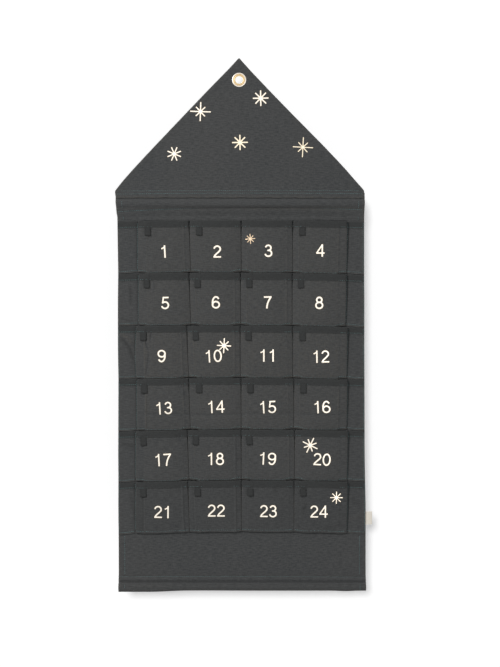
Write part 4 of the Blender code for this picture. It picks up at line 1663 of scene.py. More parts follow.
@dataclass
class PocketRow:
    """One pleated strip of four pockets with its binding and stitches."""

    palette: Palette
    needle: Needle
    outline: PanelOutline
    number: int
    mouth: SewnLine
    foot: SewnLine
    seam_shift: tuple[float, ...]
    binding: float
    mouth_gap: float
    # Painted light over the pocket fronts: paler above 0, darker below 0; then the painted shade over the
    # band inside the first seam
    front_wear: float
    left_band: float
    loops: tuple[float, ...]
    first_seam: float = -0.186
    pitch: float = 0.0955
    seam_lean: tuple[float, ...] = (0.0, 3.2 * MM, 0.4 * MM, 0.0, -2.0 * MM)
    outer_pleat: float = 17 * MM
    inner_pleat: float = 11.5 * MM
    base: Triple = (-1.35 * MM, -1.35 * MM, -0.62 * MM)
    step: Triple = (3.0 * MM, 2.1 * MM, 1.15 * MM)
    foot_gap: float = 0.56 * MM
    gap_closes: float = 0.13
    bow: Triple = (4.6 * MM, 5.4 * MM, 4.6 * MM)
    pleat_inset: float = 0.6 * MM
    billow: float = 0.5 * MM
    foot_gather: float = 0.2 * MM
    mouth_gather: float = 0.14 * MM
    pressed_lift: float = 0.8 * MM
    over_loop: float = 0.75 * MM
    drawn_up: float = 1.3 * MM
    ripple: float = 0.35 * MM
    binding_gap: float = 0.22 * MM
    binding_hem: float = 1.3 * MM
    binding_turn: float = 1.2 * MM
    binding_rise: float = 0.9 * MM
    binding_gather: float = 0.16 * MM
    stitch_sunk: float = 0.32 * MM
    foot_rise: float = 3.4 * MM
    bound_share: float = 0.13
    over_binding: float = 0.75 * MM
    left_end_sewn: bool = True
    # Strength of the painted highlight along each pressed fold line and of the painted shade beside it
    pressed: float = 0.35
    hang: float = 2.5 * MM
    bulge: float = 0.0
    # How much of the relief the margins and the folded-under pleats take, and where a front begins
    on_margin: float = 0.7
    in_pleat: float = 0.4
    on_front: float = 0.99
    rows_down: int = 68
    front_points: int = 84
    turn_points: int = 5
    margin_points: int = 18
    pockets: int = 4

    def __post_init__(self) -> None:
        """Picks the creases that reach into the row."""
        low, high = self.foot.height / MM - 15, self.mouth.height / MM + 15
        self.near_creases = [c for c in CREASES if any(low < z < high for _, z in c.through)]

    def curve(self, values: Triple, share: Points | float) -> Points:
        """A size that changes smoothly from the mouth to the foot."""
        t = np.asarray(share, float)
        return (1 - t) ** 2 * values[0] + 2 * t * (1 - t) * values[1] + t * t * values[2]

    def fold(self, share: Points | float) -> Points:
        """How far the folded edges of two neighbouring pockets stay from the seam between them."""
        open_share = np.exp(-np.asarray(share, float) / self.gap_closes)
        return self.foot_gap + (self.mouth_gap - self.foot_gap) * open_share

    def seam(self, index: int, share: Points | float) -> Points:
        """A seam's X at a share of the way down."""
        lean = self.seam_lean[index] * (np.asarray(share, float) - 0.5)
        bulge = self.bulge * np.sin(math.pi * np.asarray(share, float)) if index == 0 else 0.0
        return self.first_seam + index * self.pitch + self.seam_shift[index] + lean + bulge

    def top(self, x: Points) -> Points:
        """Height of the strip's upper edge."""
        return self.mouth.at(x) - TAPE - CLEAR

    def bottom(self, x: Points) -> Points:
        """Height of the strip's lower edge: drawn up at each seam, and behind the next mouth between them."""
        away = np.min([np.abs(x - self.seam(n, 1)) for n in range(self.pockets + 1)], axis=0)
        between = (x > self.seam(0, 1)) & (x < self.seam(self.pockets, 1))
        hangs = self.hang * ease(away, 12 * MM, 20 * MM) * between
        drawn = self.drawn_up * bell(away, 9 * MM)
        return self.foot.at(x) + drawn - hangs + self.ripple * np.sin(x * 95.0 + self.number)

    def level(self, x: Points | float, share: Points | float) -> Points:
        """The height at a share of the way down."""
        return self.top(x) + share * (self.bottom(x) - self.top(x))

    def share_at(self, x: Points, z: Points) -> Points:
        """The share of the way down at a place."""
        return (self.top(x) - z) / (self.top(x) - self.bottom(x))

    def bowed(self, across: Points, share: Points | float) -> Points:
        """How far the front bows out; across is -1 at the left fold and 1 at the right one."""
        flat = np.clip(1 - np.abs(across) ** 2.4, 0, 1)
        tucked = 1 - 0.55 * ease(np.asarray(share, float), 0.965, 1.0)
        return self.curve(self.bow, share) * flat * tucked

    def pleat(self, index: int) -> float:
        """How deep the cloth is folded under at a seam."""
        return self.outer_pleat if index in (0, self.pockets) else self.inner_pleat

    def pressed_lines(self, share: Points | float) -> list[tuple[Points, int, float]]:
        """X of each fold that a pleat's depth presses into a front, its side of the seam, and its beat."""
        found = []
        for index in range(self.pockets + 1):
            for side in (-1, 1):
                if (index, side) not in ((0, -1), (self.pockets, 1)):
                    line = self.seam(index, share) + side * (self.pleat(index) - self.pleat_inset)
                    found.append((line, side, math.sin(self.number * 2.1 + index * 1.7 + side)))
        return found

    def relief(self, x: Points, z: Points) -> Points:
        """How far creases, gathers and slack lift the cloth at a place."""
        lifted = sum(crease.raised(x, z) for crease in self.near_creases)
        lifted = lifted + self.billow * (1 + slack(x, z, self.number))
        lifted = lifted + self.foot_gather * (1 + pucker(x, z - self.bottom(x) - self.foot_rise))
        by_mouth = pucker(x * 0.8 + 1, self.top(x) - z - 10 * MM, 4 * MM)
        lifted = lifted + self.mouth_gather * (1 + by_mouth)
        for line, _, beat in self.pressed_lines(np.clip(self.share_at(x, z), 0, 1)):
            strength = self.pressed_lift * (0.55 + 0.45 * beat)
            lifted = lifted + strength * np.exp(-(np.abs(x - line) / (1.25 * MM)) ** 1.3)
        lifted = lifted * ease(self.mouth.at(x) - z, 0.5 * MM, 7 * MM)
        for middle in self.loops:
            beyond = np.abs(x - middle) - LOOP_WIDTH / 2
            beside = 1 - ease(beyond, -0.6 * MM, 1.2 * MM)
            above = 1 - ease(self.mouth.at(x) - z, self.binding - 1 * MM, self.binding + 2 * MM)
            lifted = lifted + self.over_loop * beside * above
        return lifted

    def section(self, share: float) -> tuple[Points, Points, Points]:
        """The strip's middle line at one share of the way down.

        Returns:
            X and Y of its points, and how much each takes part in the relief.
        """
        base, step = (float(self.curve(v, share)) for v in (self.base, self.step))
        fold = float(self.fold(share))
        radius = step / 2
        nominal = float(self.level(0.0, share))
        left_end, right_end = float(self.outline.left(nominal)), float(self.outline.right(nominal))
        points: list[tuple[float, float, float]] = []

        def run(x0: float, x1: float, y: float, count: int, weight: float) -> None:
            """Adds even steps from one place towards another."""
            for n in range(1, count + 1):
                points.append((x0 + (x1 - x0) * n / (count + 1), y, weight))

        def turn(x: float, y: float, side: int, forward: bool, weights: tuple[float, float]) -> None:
            """Adds half a turn about a centre."""
            for n in range(self.turn_points):
                t = n / (self.turn_points - 1)
                angle = math.pi * (t if forward else 1 - t)
                weight = weights[0] + (weights[1] - weights[0]) * t
                points.append((x + side * radius * math.sin(angle), y + radius * math.cos(angle), weight))

        first_seam = float(self.seam(0, share))
        for n in range(self.margin_points):
            t = n / self.margin_points
            weight = self.on_margin * float(ease(1 - t, 0.0, 0.15))
            points.append((left_end + (first_seam - left_end) * t, base, weight))
        for pocket in range(self.pockets):
            left, right = float(self.seam(pocket, share)), float(self.seam(pocket + 1, share))
            points.append((left, base, 0.0))
            inner_left, inner_right = left + self.pleat(pocket), right - self.pleat(pocket + 1)
            left_fold, right_fold = left + fold, right - fold
            run(left, inner_left - radius, base, 3, 0.0)
            turn(inner_left - radius, base - radius, 1, True, (0.0, self.in_pleat))
            run(inner_left - radius, left_fold + radius, base - step, 3, self.in_pleat)
            turn(left_fold + radius, base - 1.5 * step, -1, True, (self.in_pleat, 1.0))
            start, end = left_fold + radius, right_fold - radius
            for n in range(1, self.front_points + 1):
                across = -math.cos(math.pi * n / (self.front_points + 1))
                across = 0.45 * across + 0.55 * (2 * n / (self.front_points + 1) - 1)
                x = (start + end) / 2 + across * (end - start) / 2
                points.append((x, base - 2 * step - float(self.bowed(across, share)), 1.0))
            turn(right_fold - radius, base - 1.5 * step, 1, False, (1.0, self.in_pleat))
            run(right_fold - radius, inner_right + radius, base - step, 3, self.in_pleat)
            turn(inner_right + radius, base - radius, -1, False, (self.in_pleat, 0.0))
            run(inner_right + radius, right, base, 3, 0.0)
        last_seam = float(self.seam(self.pockets, share))
        points.append((last_seam, base, 0.0))
        for n in range(1, self.margin_points + 1):
            t = n / self.margin_points
            weight = self.on_margin * float(ease(t, 0.0, 0.15))
            points.append((last_seam + (right_end - last_seam) * t, base, weight))
        x, y, weight = np.array(points).T
        return x, y, weight

    def placed(self, share: float) -> tuple[Points, Points]:
        """Points of the strip's middle line in place, and their share of the relief."""
        x, y, weight = self.section(share)
        z = self.level(x, share)
        return np.stack([x, y - weight * self.relief(x, z), z], axis=1), weight

    def front_face(self, x: Points, z: Points) -> Points:
        """Y of the outermost layer's middle surface, on the fronts and on both margins."""
        x, z = np.broadcast_arrays(np.asarray(x, float), np.asarray(z, float))
        share = np.clip(self.share_at(x, z), 0, 1)
        base, step = (self.curve(v, share) for v in (self.base, self.step))
        fold = self.fold(share)
        y = base.copy()
        weight = np.full(x.shape, self.on_margin)
        for pocket in range(self.pockets):
            left = self.seam(pocket, share) + fold + step / 2
            right = self.seam(pocket + 1, share) - fold - step / 2
            across = np.clip((2 * x - left - right) / (right - left), -1, 1)
            within = (x > left - step / 2) & (x < right + step / 2)
            y = np.where(within, base - 2 * step - self.bowed(across, share), y)
            weight = np.where(within, 1.0, weight)
        return y - weight * self.relief(x, z)

    def outer_face(self, x: Points, z: Points) -> Points:
        """Y of the outermost layer's outer face."""
        return self.front_face(x, z) - CANVAS / 2

    def build(self) -> None:
        """Makes the strip, its binding and its stitches."""
        top, bottom = self.mouth.height, self.foot.height
        top_shares, foot_shares = [0.0, 0.02, 0.05, 0.085, 0.12], np.linspace(0.945, 1, 10)
        shares = np.concatenate([top_shares, np.linspace(0.15, 0.93, self.rows_down - 15), foot_shares])
        placed = [self.placed(float(share)) for share in shares]
        place = np.stack([p for p, _ in placed])
        middle = placed[len(placed) // 2][0]
        width = along(middle[:, :2])
        height = (top - bottom) * shares
        flat = np.stack(np.broadcast_arrays(width[None, :], -height[:, None]), axis=-1)
        weight = placed[0][1]
        pleated = np.zeros(len(weight))
        pleated[self.margin_points : -self.margin_points] = 1.0
        folds = pleated * bell(weight - 0.75, 0.22) * (weight > 0.45) * (weight < self.on_front)
        # Painted light on the pocket fronts, paler in the upper rows and darker in the bottom row
        folds = folds + self.front_wear * pleated * (weight > self.on_front)
        ends = fade(np.minimum(width, width[-1] - width), 1.5 * MM)
        lower = fade((1 - shares) * (top - bottom), 1.3 * MM)
        # The shade method adds painted highlights and painted shade
        wear = 0.8 * folds[None, :] + ends[None, :] + 0.7 * lower[:, None] + self.shade(place, weight, shares)
        wear = np.clip(wear, -1, 1)
        strip = shaped_sheet(f"pocket_cloth_{self.number}", place, flat, wear)
        self.palette.make_up(strip, CANVAS, self.palette.canvas)
        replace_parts(strip, f"pocket_strip_{self.number}")
        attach(strip, "pocket_panel")
        self.build_binding()
        self.build_stitches()

    def shade(self, place: Points, weight: Points, shares: Points) -> Points:
        """How much paler, as painted highlight, or darker below 0, as painted shade, the strip is along
        creases, seams, pressed folds and the band inside its first seam.
        """
        x, z = place[..., 0], place[..., 2]
        down = shares[:, None]
        # Painted highlight and shade along the creases, by their tones
        found = sum(crease.tone * crease.near(x, z) for crease in self.near_creases) * (weight > 0.45)
        # Painted highlight on each pressed fold line and painted shade just beside it
        for line, side, beat in self.pressed_lines(down):
            front = self.pressed * (0.6 + 0.4 * beat) * (weight > self.on_front)
            found = found + front * bell(x - line, 1.1 * MM)
            found = found - front * bell(x - line + side * 2.1 * MM, 1.2 * MM)
        # Painted shade over the band inside the first seam, where a pleat lies folded under
        left = self.seam(0, down)
        band = ease(x, left, left + 2 * MM) * (1 - ease(x, left + 13 * MM, left + 16.5 * MM))
        found = found - self.left_band * band * (weight > self.on_front)
        # Painted shade as a dark line beside both outer seams
        for seam, side in ((left, -1), (self.seam(self.pockets, down), 1)):
            beside = bell(x - seam - side * 0.8 * MM, 1.3 * MM)
            found = found - 0.4 * beside * (weight < self.on_margin + 0.02)
        return found

    def sideways(self, path: Points) -> Points:
        """The way out of the cloth at each point of a level line, on its front side."""
        way = np.gradient(path[:, :2], axis=0)
        way /= np.linalg.norm(way, axis=1)[:, None]
        return np.stack([way[:, 1], -way[:, 0], np.zeros(len(way))], axis=1)

    def build_binding(self) -> None:
        """The tape folded over the mouth."""
        height = self.binding
        reach = self.mouth.height - self.foot.height
        gap = CANVAS / 2 + self.binding_gap + TAPE / 2
        rows = []
        for down in (height, height * 0.75, height * 0.5, height * 0.25, self.binding_turn):
            rows.append((down, gap, 0.0))
        for degrees in (30, 60, 90, 120, 150):
            angle = math.radians(degrees)
            rows.append((self.binding_turn, gap * math.cos(angle), self.binding_rise * math.sin(angle)))
        for down in (self.binding_turn, height * 0.5, height * 0.97):
            rows.append((down, -gap, 0.0))
        sheets = []
        for down, offset, rise in rows:
            path, weight = self.placed(max(0.0, (down - 0.8 * MM) / reach))
            out = self.sideways(path)
            gathers = 1 + pucker(path[:, 0] * 1.1, np.full(len(path), down - height), 6 * MM)
            lift = (offset + np.where(offset > 0, self.binding_gather * gathers * weight, 0))[:, None]
            moved = path + out * lift
            moved[:, 2] = self.mouth.at(path[:, 0]) - down + rise - TAPE / 2
            sheets.append(moved)
        place = np.stack(sheets)
        width = along(sheets[2][:, :2])
        around = along(place[:, 4])
        flat = np.stack(np.broadcast_arrays(width[None, :], around[:, None]), axis=-1)
        edge = fade(np.minimum(around, around[-1] - around), 0.8 * MM)
        crown = bell(around - around[7], 1.2 * MM)
        wear = np.broadcast_to(np.clip(0.5 * edge + 0.7 * crown, 0, 1)[:, None], place.shape[:2])
        tape = shaped_sheet(f"binding_tape_{self.number}", place, flat, wear)
        self.palette.make_up(tape, TAPE, self.palette.tape)
        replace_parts(tape, f"pocket_binding_{self.number}")
        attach(tape, "pocket_panel")

    def spans(self, share: float) -> list[tuple[float, float]]:
        """The stretches of a level line that show: both margins and four fronts."""
        z = float(self.level(0.0, share))
        fold = float(self.fold(share) + self.curve(self.step, share) / 2)
        seams = [float(self.seam(n, share)) for n in range(self.pockets + 1)]
        found = [(float(self.outline.left(z)) + 1 * MM, seams[0])]
        found += [(a + fold, b - fold) for a, b in zip(seams, seams[1:])]
        found.append((seams[-1], float(self.outline.right(z)) - 1 * MM))
        return found

    def build_stitches(self) -> None:
        """Rows along the foot, the binding, each seam and both ends, and the same rows behind."""
        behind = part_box("roof_back")[1].y
        rows = []
        for by_foot, share in ((True, 0.96), (False, 0.1)):
            for start, end in self.spans(share):
                x = np.linspace(start, end, max(6, int((end - start) / (3 * MM))))
                z = self.mouth.at(x) - self.binding + self.binding_hem
                if by_foot:
                    z = self.bottom(x) + self.foot_rise
                away = np.min([np.abs(x - self.seam(n, 1)) for n in range(self.pockets + 1)], axis=0)
                sunk = self.stitch_sunk * ease(away, 11 * MM, 19 * MM) * (end - start > 60 * MM)
                over = 0.0 if by_foot else self.binding_gather + TAPE
                rows.append(row_of(x, self.outer_face(x, z) - over + sunk, z, FRONT))
        for index in range(self.pockets + 1):
            share = np.linspace(0.03, 0.955, 24)
            aside = {0: -0.5 * MM, self.pockets: 0.5 * MM}.get(index, 0.0)
            x = self.seam(index, share) + aside
            z = self.level(x, share)
            over = np.where(share < self.bound_share, self.over_binding, 0.0)
            rows.append(row_of(x, self.curve(self.base, share) - CANVAS / 2 - over, z, FRONT))
            rows.append(row_of(x, behind, z, BACK))
        ends = [(-1, self.outline.right)] + ([(1, self.outline.left)] if self.left_end_sewn else [])
        for side, edge in ends:
            share = np.linspace(0.02, 0.98, 24)
            x = edge(self.mouth.height - share * 0.093) + side * 1.3 * MM
            z = self.level(x, share)
            over = np.where(share < self.bound_share, self.over_binding, 0.0)
            rows.append(row_of(x, self.outer_face(x, z) - over, z, FRONT))
        left, right = float(self.outline.left(-0.5)), float(self.outline.right(-0.5))
        x = np.linspace(left + 14 * MM, right - 14 * MM, 160)
        rows.append(row_of(x, behind, self.bottom(x) + self.foot_rise, BACK))
        self.needle.sew(f"pocket_stitches_{self.number}", "pocket_panel", rows)


@dataclass(frozen=True)
class Number:
    """A printed number: its centre in millimetres and its turn in degrees."""

    value: int
    x: float
    z: float
    turn: float = 0.0


@dataclass
class Pockets:
    """All six rows, with their numbers and stars."""

    palette: Palette
    needle: Needle
    outline: PanelOutline
    number_height: float = 22.4 * MM
    star_lift: float = 0.13 * MM
    bulges: dict[int, float] = field(default_factory=lambda: {3: -1.6 * MM})
    # Each row's painted light on its pocket fronts: paler in the upper rows, darker in the bottom one
    front_wear: tuple[float, ...] = (0.33, 0.36, 0.50, 0.34, 0.20, -0.14)
    mouth_gaps: tuple[float, ...] = (2.5 * MM, 2.4 * MM, 2.1 * MM, 2.1 * MM, 2.0 * MM, 2.0 * MM)
    # Each row's painted shade over the band inside its first seam
    left_bands: tuple[float, ...] = (0.05, 0.10, 0.30, 0.26, 0.22, 0.16)
    bindings: tuple[float, ...] = (12.2 * MM, 13.0 * MM, 12.0 * MM, 11.6 * MM, 11.6 * MM, 11.6 * MM)
    # How far each mouth and the last foot are off their heights at left, middle and right, in millimetres
    lines: tuple[Triple, ...] = (
        (0.0, 1.5, -0.2),
        (-0.7, 1.3, -2.5),
        (-1.3, 0.0, -3.6),
        (-3.6, -1.1, -4.4),
        (-4.0, -0.7, -2.4),
        (-2.2, 1.6, -0.7),
        (-2.7, 1.6, -1.6),
    )
    # How far each row's five seams are off their even places, in millimetres
    seam_shifts: tuple[tuple[float, ...], ...] = (
        (1.8, 1.3, -0.9, -2.9, 0.2),
        (3.1, 1.3, -2.2, -3.8, -1.4),
        (-0.9, -2.7, -2.7, -2.9, 0.5),
        (0.2, 0.5, -1.1, -0.9, 0.4),
        (-1.8, -1.8, -0.9, 0.4, 1.1),
        (-2.2, -0.9, -0.7, -0.5, 0.6),
    )
    numbers: tuple[Number, ...] = (
        Number(1, -136, -313, 3),
        Number(2, -39.5, -313),
        Number(3, 53.5, -311.5, 1),
        Number(4, 147.5, -311),
        Number(5, -134, -406, 1),
        Number(6, -42, -405),
        Number(7, 52, -405, 1),
        Number(8, 145.5, -406, -1),
        Number(9, -140.5, -502.5, -1),
        Number(10, -47, -502.5, 3),
        Number(11, 52, -501.5),
        Number(12, 148.2, -503.5, 1),
        Number(13, -136.7, -597, 3),
        Number(14, -42.5, -594.5, 2),
        Number(15, 51.5, -595, 3),
        Number(16, 150, -595, 2),
        Number(17, -138.4, -690.7, 3),
        Number(18, -43, -689),
        Number(19, 51.3, -688.5, -3),
        Number(20, 150.5, -690, -3),
        Number(21, -138.5, -785.5, -1),
        Number(22, -41.2, -783),
        Number(23, 53.5, -784, -1),
        Number(24, 144.8, -784.7),
    )
    stars: tuple[Star, ...] = (
        Star(20.4, -289.9, 8.3, 8.4, 7.4, turn=4, tone=FoilTone.COPPER, width=1.6),
        Star(-27.3, -483.6, 12.0, 12.6, 10.4, turn=-3, width=2.2),
        Star(129.0, -664.2, 11.2, 11.0, 13.9, turn=19, width=2.3),
        Star(176.6, -759.3, 10.8, 10.4, 10.0, turn=-1, width=1.6),
    )

    def build(self) -> list[PocketRow]:
        """Makes the rows and prints their numbers and stars."""
        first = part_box("pocket_binding_1")[1].z
        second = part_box("pocket_binding_2")[1].z
        pitch = first - second
        heights = [first - pitch * n for n in range(len(self.lines))]
        sewn = [
            SewnLine(height, left * MM, middle * MM, right * MM)
            for height, (left, middle, right) in zip(heights, self.lines)
        ]
        rows = []
        for number, (mouth, below) in enumerate(zip(sewn, sewn[1:]), 1):
            foot = SewnLine(below.height + 0.8 * MM, below.left, below.middle, below.right)
            shifts = tuple(s * MM for s in self.seam_shifts[number - 1])
            row = PocketRow(
                self.palette,
                self.needle,
                self.outline,
                number,
                mouth,
                foot,
                shifts,
                self.bindings[number - 1],
                self.mouth_gaps[number - 1],
                self.front_wear[number - 1],
                self.left_bands[number - 1],
                self.loops_of(number),
                left_end_sewn=number > 2,
                bulge=self.bulges.get(number, 0.0),
            )
            if number == len(self.bindings):
                # Nothing hangs behind a next mouth, and the foot lies flatter
                row.hang = 0.0
                row.bow = (row.bow[0], row.bow[1], 0.8 * MM)
            row.build()
            rows.append(row)
            LOG.info("pocket row %d: strip, binding and stitches", number)
        self.print_all(rows)
        return rows

    def loops_of(self, row: int) -> tuple[float, ...]:
        """X of the middle of each tape loop in a row."""
        boxes = [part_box(name) for name in LOOP_NODES if (int(name[-2:]) - 1) // 4 + 1 == row]
        return tuple((low.x + high.x) / 2 for low, high in boxes)

    def print_all(self, rows: list[PocketRow]) -> None:
        """Presses the numbers and the small stars."""
        press = FoilPress(self.palette)
        for number in self.numbers:
            row = rows[(number.value - 1) // 4]
            strokes = number_strokes(str(number.value))
            name = f"number_{number.value:02d}"
            at = (number.x * MM, number.z * MM)
            tone, size = FoilTone.PALE, self.number_height
            press.press(name, "pocket_panel", strokes, size, at, number.turn, row.outer_face, tone)
        # A star may lie over a number
        press.gap += self.star_lift
        for index, star in enumerate(self.stars, 1):
            row = next(r for r in rows if r.mouth.height > star.z * MM > r.foot.height)
            press.press_star(f"pocket_star_{index}", "pocket_panel", star, row.outer_face)
        LOG.info("prints: %d numbers and %d stars", len(self.numbers), len(self.stars))


# Tape loops


@dataclass
class TapeLoops:
    """The folded tape loops under the bindings: one is modelled, and each is a copy with its own mesh."""

    palette: Palette
    rows: list[PocketRow]
    leaf_points: int = 16
    turn_points: int = 7
    across_points: int = 7
    root: float = 3.2 * MM
    pinch: float = 0.35 * MM
    curl: float = 0.22 * MM
    tilt: float = 2.2
    # How thick a loop is beside its CAD box, and how far its length makes up for its binding's sag
    fullness: float = 0.6
    follows: float = 0.7

    def model(self) -> bpy.types.Object:
        """One loop about its own upper front edge: down in front, round its foot and up behind."""
        low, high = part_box("tape_loop_01")
        length = high.z - low.z
        depth = high.y - low.y
        radius = (depth - TAPE) / 2 * self.fullness
        front = TAPE / 2
        shares = np.linspace(0, 1, self.leaf_points) ** 1.6
        path = [(front, -s * (length - radius)) for s in shares]
        for n in range(1, self.turn_points + 1):
            angle = math.pi * n / (self.turn_points + 1)
            path.append((front + radius * (1 - math.cos(angle)), -length + radius - radius * math.sin(angle)))
        path += [(front + 2 * radius, -s * (length - radius)) for s in shares[::-1]]
        path = np.array(path)
        pinch = self.pinch * np.sin(np.clip(-path[:, 1] / length, 0, 1) * math.pi)
        path[:, 0] += np.where(np.arange(len(path)) < len(path) / 2, pinch, -pinch)
        across = np.linspace(-0.5, 0.5, self.across_points) * LOOP_WIDTH
        x = np.broadcast_to(across[None, :], (len(path), len(across)))
        curl = self.curl * (2 * np.abs(across) / LOOP_WIDTH) ** 2
        y = path[:, :1] + curl[None, :]
        z = np.broadcast_to(path[:, 1:], x.shape)
        flat = np.stack(np.broadcast_arrays(x, along(path)[:, None]), axis=-1)
        # Painted shade standing in for the loop's shadows: darker along both edges and at its foot
        foot = bell(path[:, 1] + length, 1.4 * MM)
        wear = -0.5 * (2 * np.abs(across) / LOOP_WIDTH)[None, :] ** 6 - 0.7 * foot[:, None]
        sheet = shaped_sheet("one_tape_loop", np.stack([x, y, z], axis=-1), flat, wear)
        thicken(sheet, TAPE)
        smooth(sheet, 60)
        return sheet

    def build(self) -> None:
        """Copies the loop to each of its places."""
        model = self.model()
        for name in LOOP_NODES:
            number = int(name[-2:])
            low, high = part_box(name)
            row = self.rows[(number - 1) // 4]
            middle = (low.x + high.x) / 2
            loop = model.copy()
            loop.data = model.data.copy()
            loop.name = loop.data.name = f"loop_tape_{number:02d}"
            bpy.context.scene.collection.objects.link(loop)
            tilt = math.radians(self.tilt * math.sin(number * 2.7))
            drop = float(row.mouth.at(middle) - row.mouth.height)
            thick = (high.y - low.y) * self.fullness + TAPE * (1 - self.fullness)
            longer = 1 - drop * self.follows / (high.z - low.z)
            for vertex in loop.data.vertices:
                x, y, z = vertex.co
                share = min(1.0, -z / (high.z - low.z))
                z = z * longer
                across = x * math.cos(tilt) - z * math.sin(tilt)
                down = x * math.sin(tilt) * share + z * math.cos(tilt)
                vertex.co = (middle + across, high.y - thick + y, high.z + down)
            self.palette.dress(loop, self.palette.tape)
            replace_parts(loop, name)
            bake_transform(loop)
        bpy.data.objects.remove(model)
        LOG.info("tape loops: %d", len(LOOP_NODES))


# Side label


@dataclass
class SideLabel:
    """A bare folded ribbon sewn in at the right-hand edge."""

    palette: Palette
    thickness: float = 0.28 * MM
    leaf_gap: float = 0.36 * MM
    root: float = 2.4 * MM
    sway: float = 0.5 * MM
    rise: float = 0.5 * MM
    rows: int = 14
    leaf_points: int = 12
    turn_points: int = 5

    def build(self) -> None:
        """Makes the ribbon: out in front, round its fold and back behind."""
        low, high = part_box("side_label")
        reach, height = high.x - low.x, high.z - low.z
        middle = (low.y + high.y) / 2
        radius = self.leaf_gap / 2
        leaf = np.linspace(0, 1, self.leaf_points)
        path = [(s * (reach - radius), -radius) for s in leaf]
        for n in range(1, self.turn_points + 1):
            angle = math.pi * n / (self.turn_points + 1)
            path.append((reach - radius + radius * math.sin(angle), -radius * math.cos(angle)))
        path += [(s * (reach - radius), radius) for s in leaf[::-1]]
        path = np.array(path)
        down = np.linspace(0, 1, self.rows)
        x = low.x + np.broadcast_to(path[:, 0][None, :], (self.rows, len(path)))
        sway = self.sway * np.sin(path[:, 0] / reach * math.pi * 0.9)[None, :] * (0.4 + 0.6 * down[:, None])
        y = middle + path[:, 1][None, :] - sway
        z = high.z - down[:, None] * height + self.rise * (path[:, 0] / reach)[None, :]
        place = np.stack(np.broadcast_arrays(x, y, z), axis=-1)
        flat = np.stack(np.broadcast_arrays(along(path)[None, :], -down[:, None] * height), axis=-1)
        ends = fade(np.minimum(down, 1 - down) * height, 0.7 * MM)
        label = shaped_sheet("label_ribbon", place, flat, np.broadcast_to(ends[:, None], x.shape))
        self.palette.make_up(label, self.thickness, self.palette.label)
        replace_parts(label, "side_label")
        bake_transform(label)
        LOG.info("side label")


# Rods


@dataclass
class Rod:
    """A turned wooden rod with rounded ends."""

    palette: Palette
    node: str
    name: str
    sides: int = 48
    rounding: float = 1.1 * MM

    def build(self) -> None:
        """Makes the rod where its CAD node is."""
        low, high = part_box(self.node)
        middle, size = (low + high) / 2, high - low
        pick_only()
        bpy.ops.mesh.primitive_cylinder_add(vertices=self.sides, radius=size.z / 2, depth=size.x)
        rod = name_piece(self.name)
        bpy.ops.object.mode_set(mode="EDIT")
        bpy.ops.mesh.select_all(action="SELECT")
        bpy.ops.transform.rotate(value=math.radians(90), orient_axis="Y", center_override=(0, 0, 0))
        bpy.ops.object.mode_set(mode="OBJECT")
        apply_modifier(
            rod, "BEVEL", width=self.rounding, segments=4, limit_method="ANGLE", angle_limit=math.radians(60)
        )
        rod.data.transform(Matrix.Translation(middle))
        smooth(rod, 35)
        self.palette.dress(rod, self.palette.wood)
        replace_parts(rod, self.node)
        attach(rod, self.node)
        LOG.info("%s", self.name)


# Studio


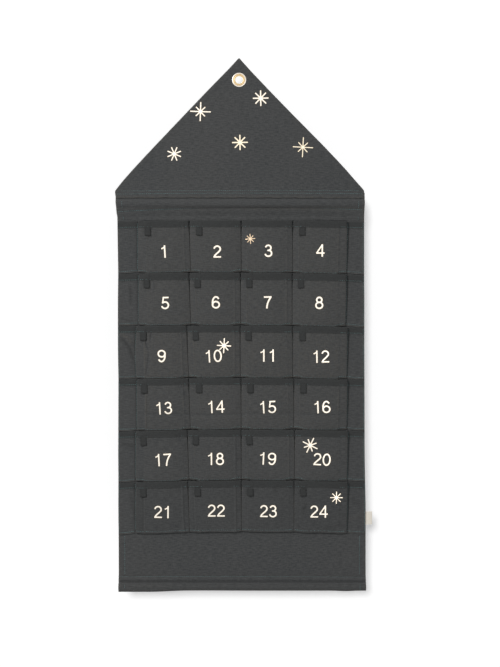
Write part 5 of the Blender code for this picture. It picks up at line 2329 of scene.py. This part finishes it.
@dataclass
class Studio:
    """A white wall behind, a pale floor below, soft lamps and the camera."""

    middle: Vector = field(default_factory=lambda: Vector((0.01984, -0.0005, -0.46155)))
    frame_height: float = 1.214
    lens: float = 85.0
    film: float = 36.0
    wall_y: float = 0.095
    floor_z: float = -1.27
    sky: float = 0.32
    sun: float = 1.66
    sun_spread: float = 11.0
    sun_way: Triple = (0.42, 3.0, -0.685)

    def camera(self) -> None:
        """Straight on, with the photograph's framing."""
        data = bpy.data.cameras.new("camera")
        data.lens = self.lens
        data.sensor_width = self.film
        camera = bpy.data.objects.new("camera", data)
        away = self.frame_height * self.lens / self.film
        camera.location = self.middle + Vector((0, -away, 0))
        camera.rotation_euler = (math.radians(90), 0, 0)
        bpy.context.scene.collection.objects.link(camera)
        bpy.context.scene.camera = camera

    def white(self, name: str, glow: float, tint: Colour) -> bpy.types.Material:
        """A white that takes shadows for the camera and is clear from behind."""
        material, graph, shader = start_material(name)
        material.node_tree.nodes.remove(shader)
        cover = graph.feed(graph.node("ShaderNodeBsdfDiffuse"), Color=tint).outputs[0]
        light = graph.feed(graph.node("ShaderNodeEmission"), Strength=glow).outputs[0]
        clear = graph.node("ShaderNodeBsdfTransparent").outputs[0]
        side = graph.node("ShaderNodeNewGeometry").outputs["Backfacing"]
        graph.end_with(side, graph.blend("ShaderNodeAddShader", cover, light), clear)
        return material

    def surfaces(self) -> list[bpy.types.Object]:
        """The wall and the floor, which only the camera's rays meet."""
        found = []
        shapes = (
            ("wall", (0, self.wall_y, 0.15), (math.radians(90), 0, 0), (5.0, 2.84), 0.362),
            ("floor", (0, self.wall_y - 1.5, self.floor_z), (0, 0, 0), (5.0, 3.0), 0.70),
        )
        for name, at, turn, size, glow in shapes:
            pick_only()
            bpy.ops.mesh.primitive_plane_add(size=1, location=at, rotation=turn)
            plane = name_piece(name)
            plane.scale = (size[0], size[1], 1)
            bpy.ops.object.transform_apply(location=True, rotation=True, scale=True)
            plane.data.materials.append(self.white(name + "_white", glow, (0.85, 0.85, 0.85, 1)))
            for flag in ("visible_diffuse", "visible_glossy", "visible_transmission", "visible_shadow"):
                setattr(plane, flag, False)
            plane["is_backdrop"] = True
            found.append(plane)
        return found

    def world(self) -> None:
        """White to the camera and to gloss, and a soft light to everything else."""
        world = bpy.data.worlds.new("studio")
        world.use_nodes = True
        bpy.context.scene.world = world
        graph = Graph(world.node_tree)
        white = (1, 1, 1, 1)
        base = graph.feed(world.node_tree.nodes["Background"], Color=white, Strength=self.sky).outputs[0]
        seen = graph.feed(graph.node("ShaderNodeBackground"), Color=white, Strength=1.0).outputs[0]
        path = graph.node("ShaderNodeLightPath").outputs
        gloss = graph.maths("MAXIMUM", path["Is Glossy Ray"], path["Is Transmission Ray"])
        shown = graph.maths("MAXIMUM", path["Is Camera Ray"], gloss)
        graph.end_with(shown, base, seen)

    def lamp(self, name: str, offset: Triple, size: float, power: float) -> bpy.types.Object:
        """A square soft lamp that faces the calendar's middle."""
        data = bpy.data.lights.new(name, "AREA")
        data.size = size
        data.energy = power
        lamp = bpy.data.objects.new(name, data)
        lamp.location = self.middle + Vector(offset)
        lamp.rotation_euler = (self.middle - lamp.location).to_track_quat("-Z", "Y").to_euler()
        bpy.context.scene.collection.objects.link(lamp)
        return lamp

    def wall_light(self) -> bpy.types.Object:
        """Even light on the wall; the calendar's soft shadow falls a little to its right and below it."""
        data = bpy.data.lights.new("wall_light", "SUN")
        data.angle = math.radians(self.sun_spread)
        data.energy = self.sun
        lamp = bpy.data.objects.new("wall_light", data)
        lamp.rotation_euler = Vector(self.sun_way).to_track_quat("-Z", "Y").to_euler()
        bpy.context.scene.collection.objects.link(lamp)
        return lamp

    def light_only(self, lamp: bpy.types.Object, name: str, pieces: list[bpy.types.Object]) -> None:
        """Keeps a lamp's light to some objects."""
        group = bpy.data.collections.new(name)
        for piece in pieces:
            group.objects.link(piece)
        lamp.light_linking.receiver_collection = group

    def build(self) -> None:
        """Sets up the whole studio; called when every piece is made."""
        self.camera()
        self.world()
        planes = self.surfaces()
        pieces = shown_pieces()
        key = self.lamp("key", (-1.8, -2.25, 1.2), 0.9, 58.0)
        fill = self.lamp("fill", (1.4, -2.5, -0.45), 1.6, 14.0)
        rear = self.lamp("rear", (-1.2, 2.4, 1.2), 1.6, 60.0)
        for lamp in (key, fill, rear):
            self.light_only(lamp, lamp.name + "_on_calendar", pieces)
        self.light_only(self.wall_light(), "wall_light_on_wall", planes)
        scene = bpy.context.scene
        scene.view_settings.view_transform = "Standard"
        LOG.info("studio: wall, floor, camera and four lamps")


def main() -> None:
    """Builds every piece in order."""
    logging.basicConfig(level=logging.INFO, format="%(name)s: %(message)s")
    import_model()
    palette = Palette()
    needle = Needle(palette)
    outline = PanelOutline()
    Eyelet(palette).build()
    Roof(palette, needle, outline).build()
    for node, name in (("upper_rod", "upper_dowel"), ("lower_rod", "lower_dowel")):
        Rod(palette, node, name).build()
    BodyPanel(palette, needle, outline).build()
    rows = Pockets(palette, needle, outline).build()
    TapeLoops(palette, rows).build()
    SideLabel(palette).build()
    Studio().build()


if __name__ == "__main__":
    main()
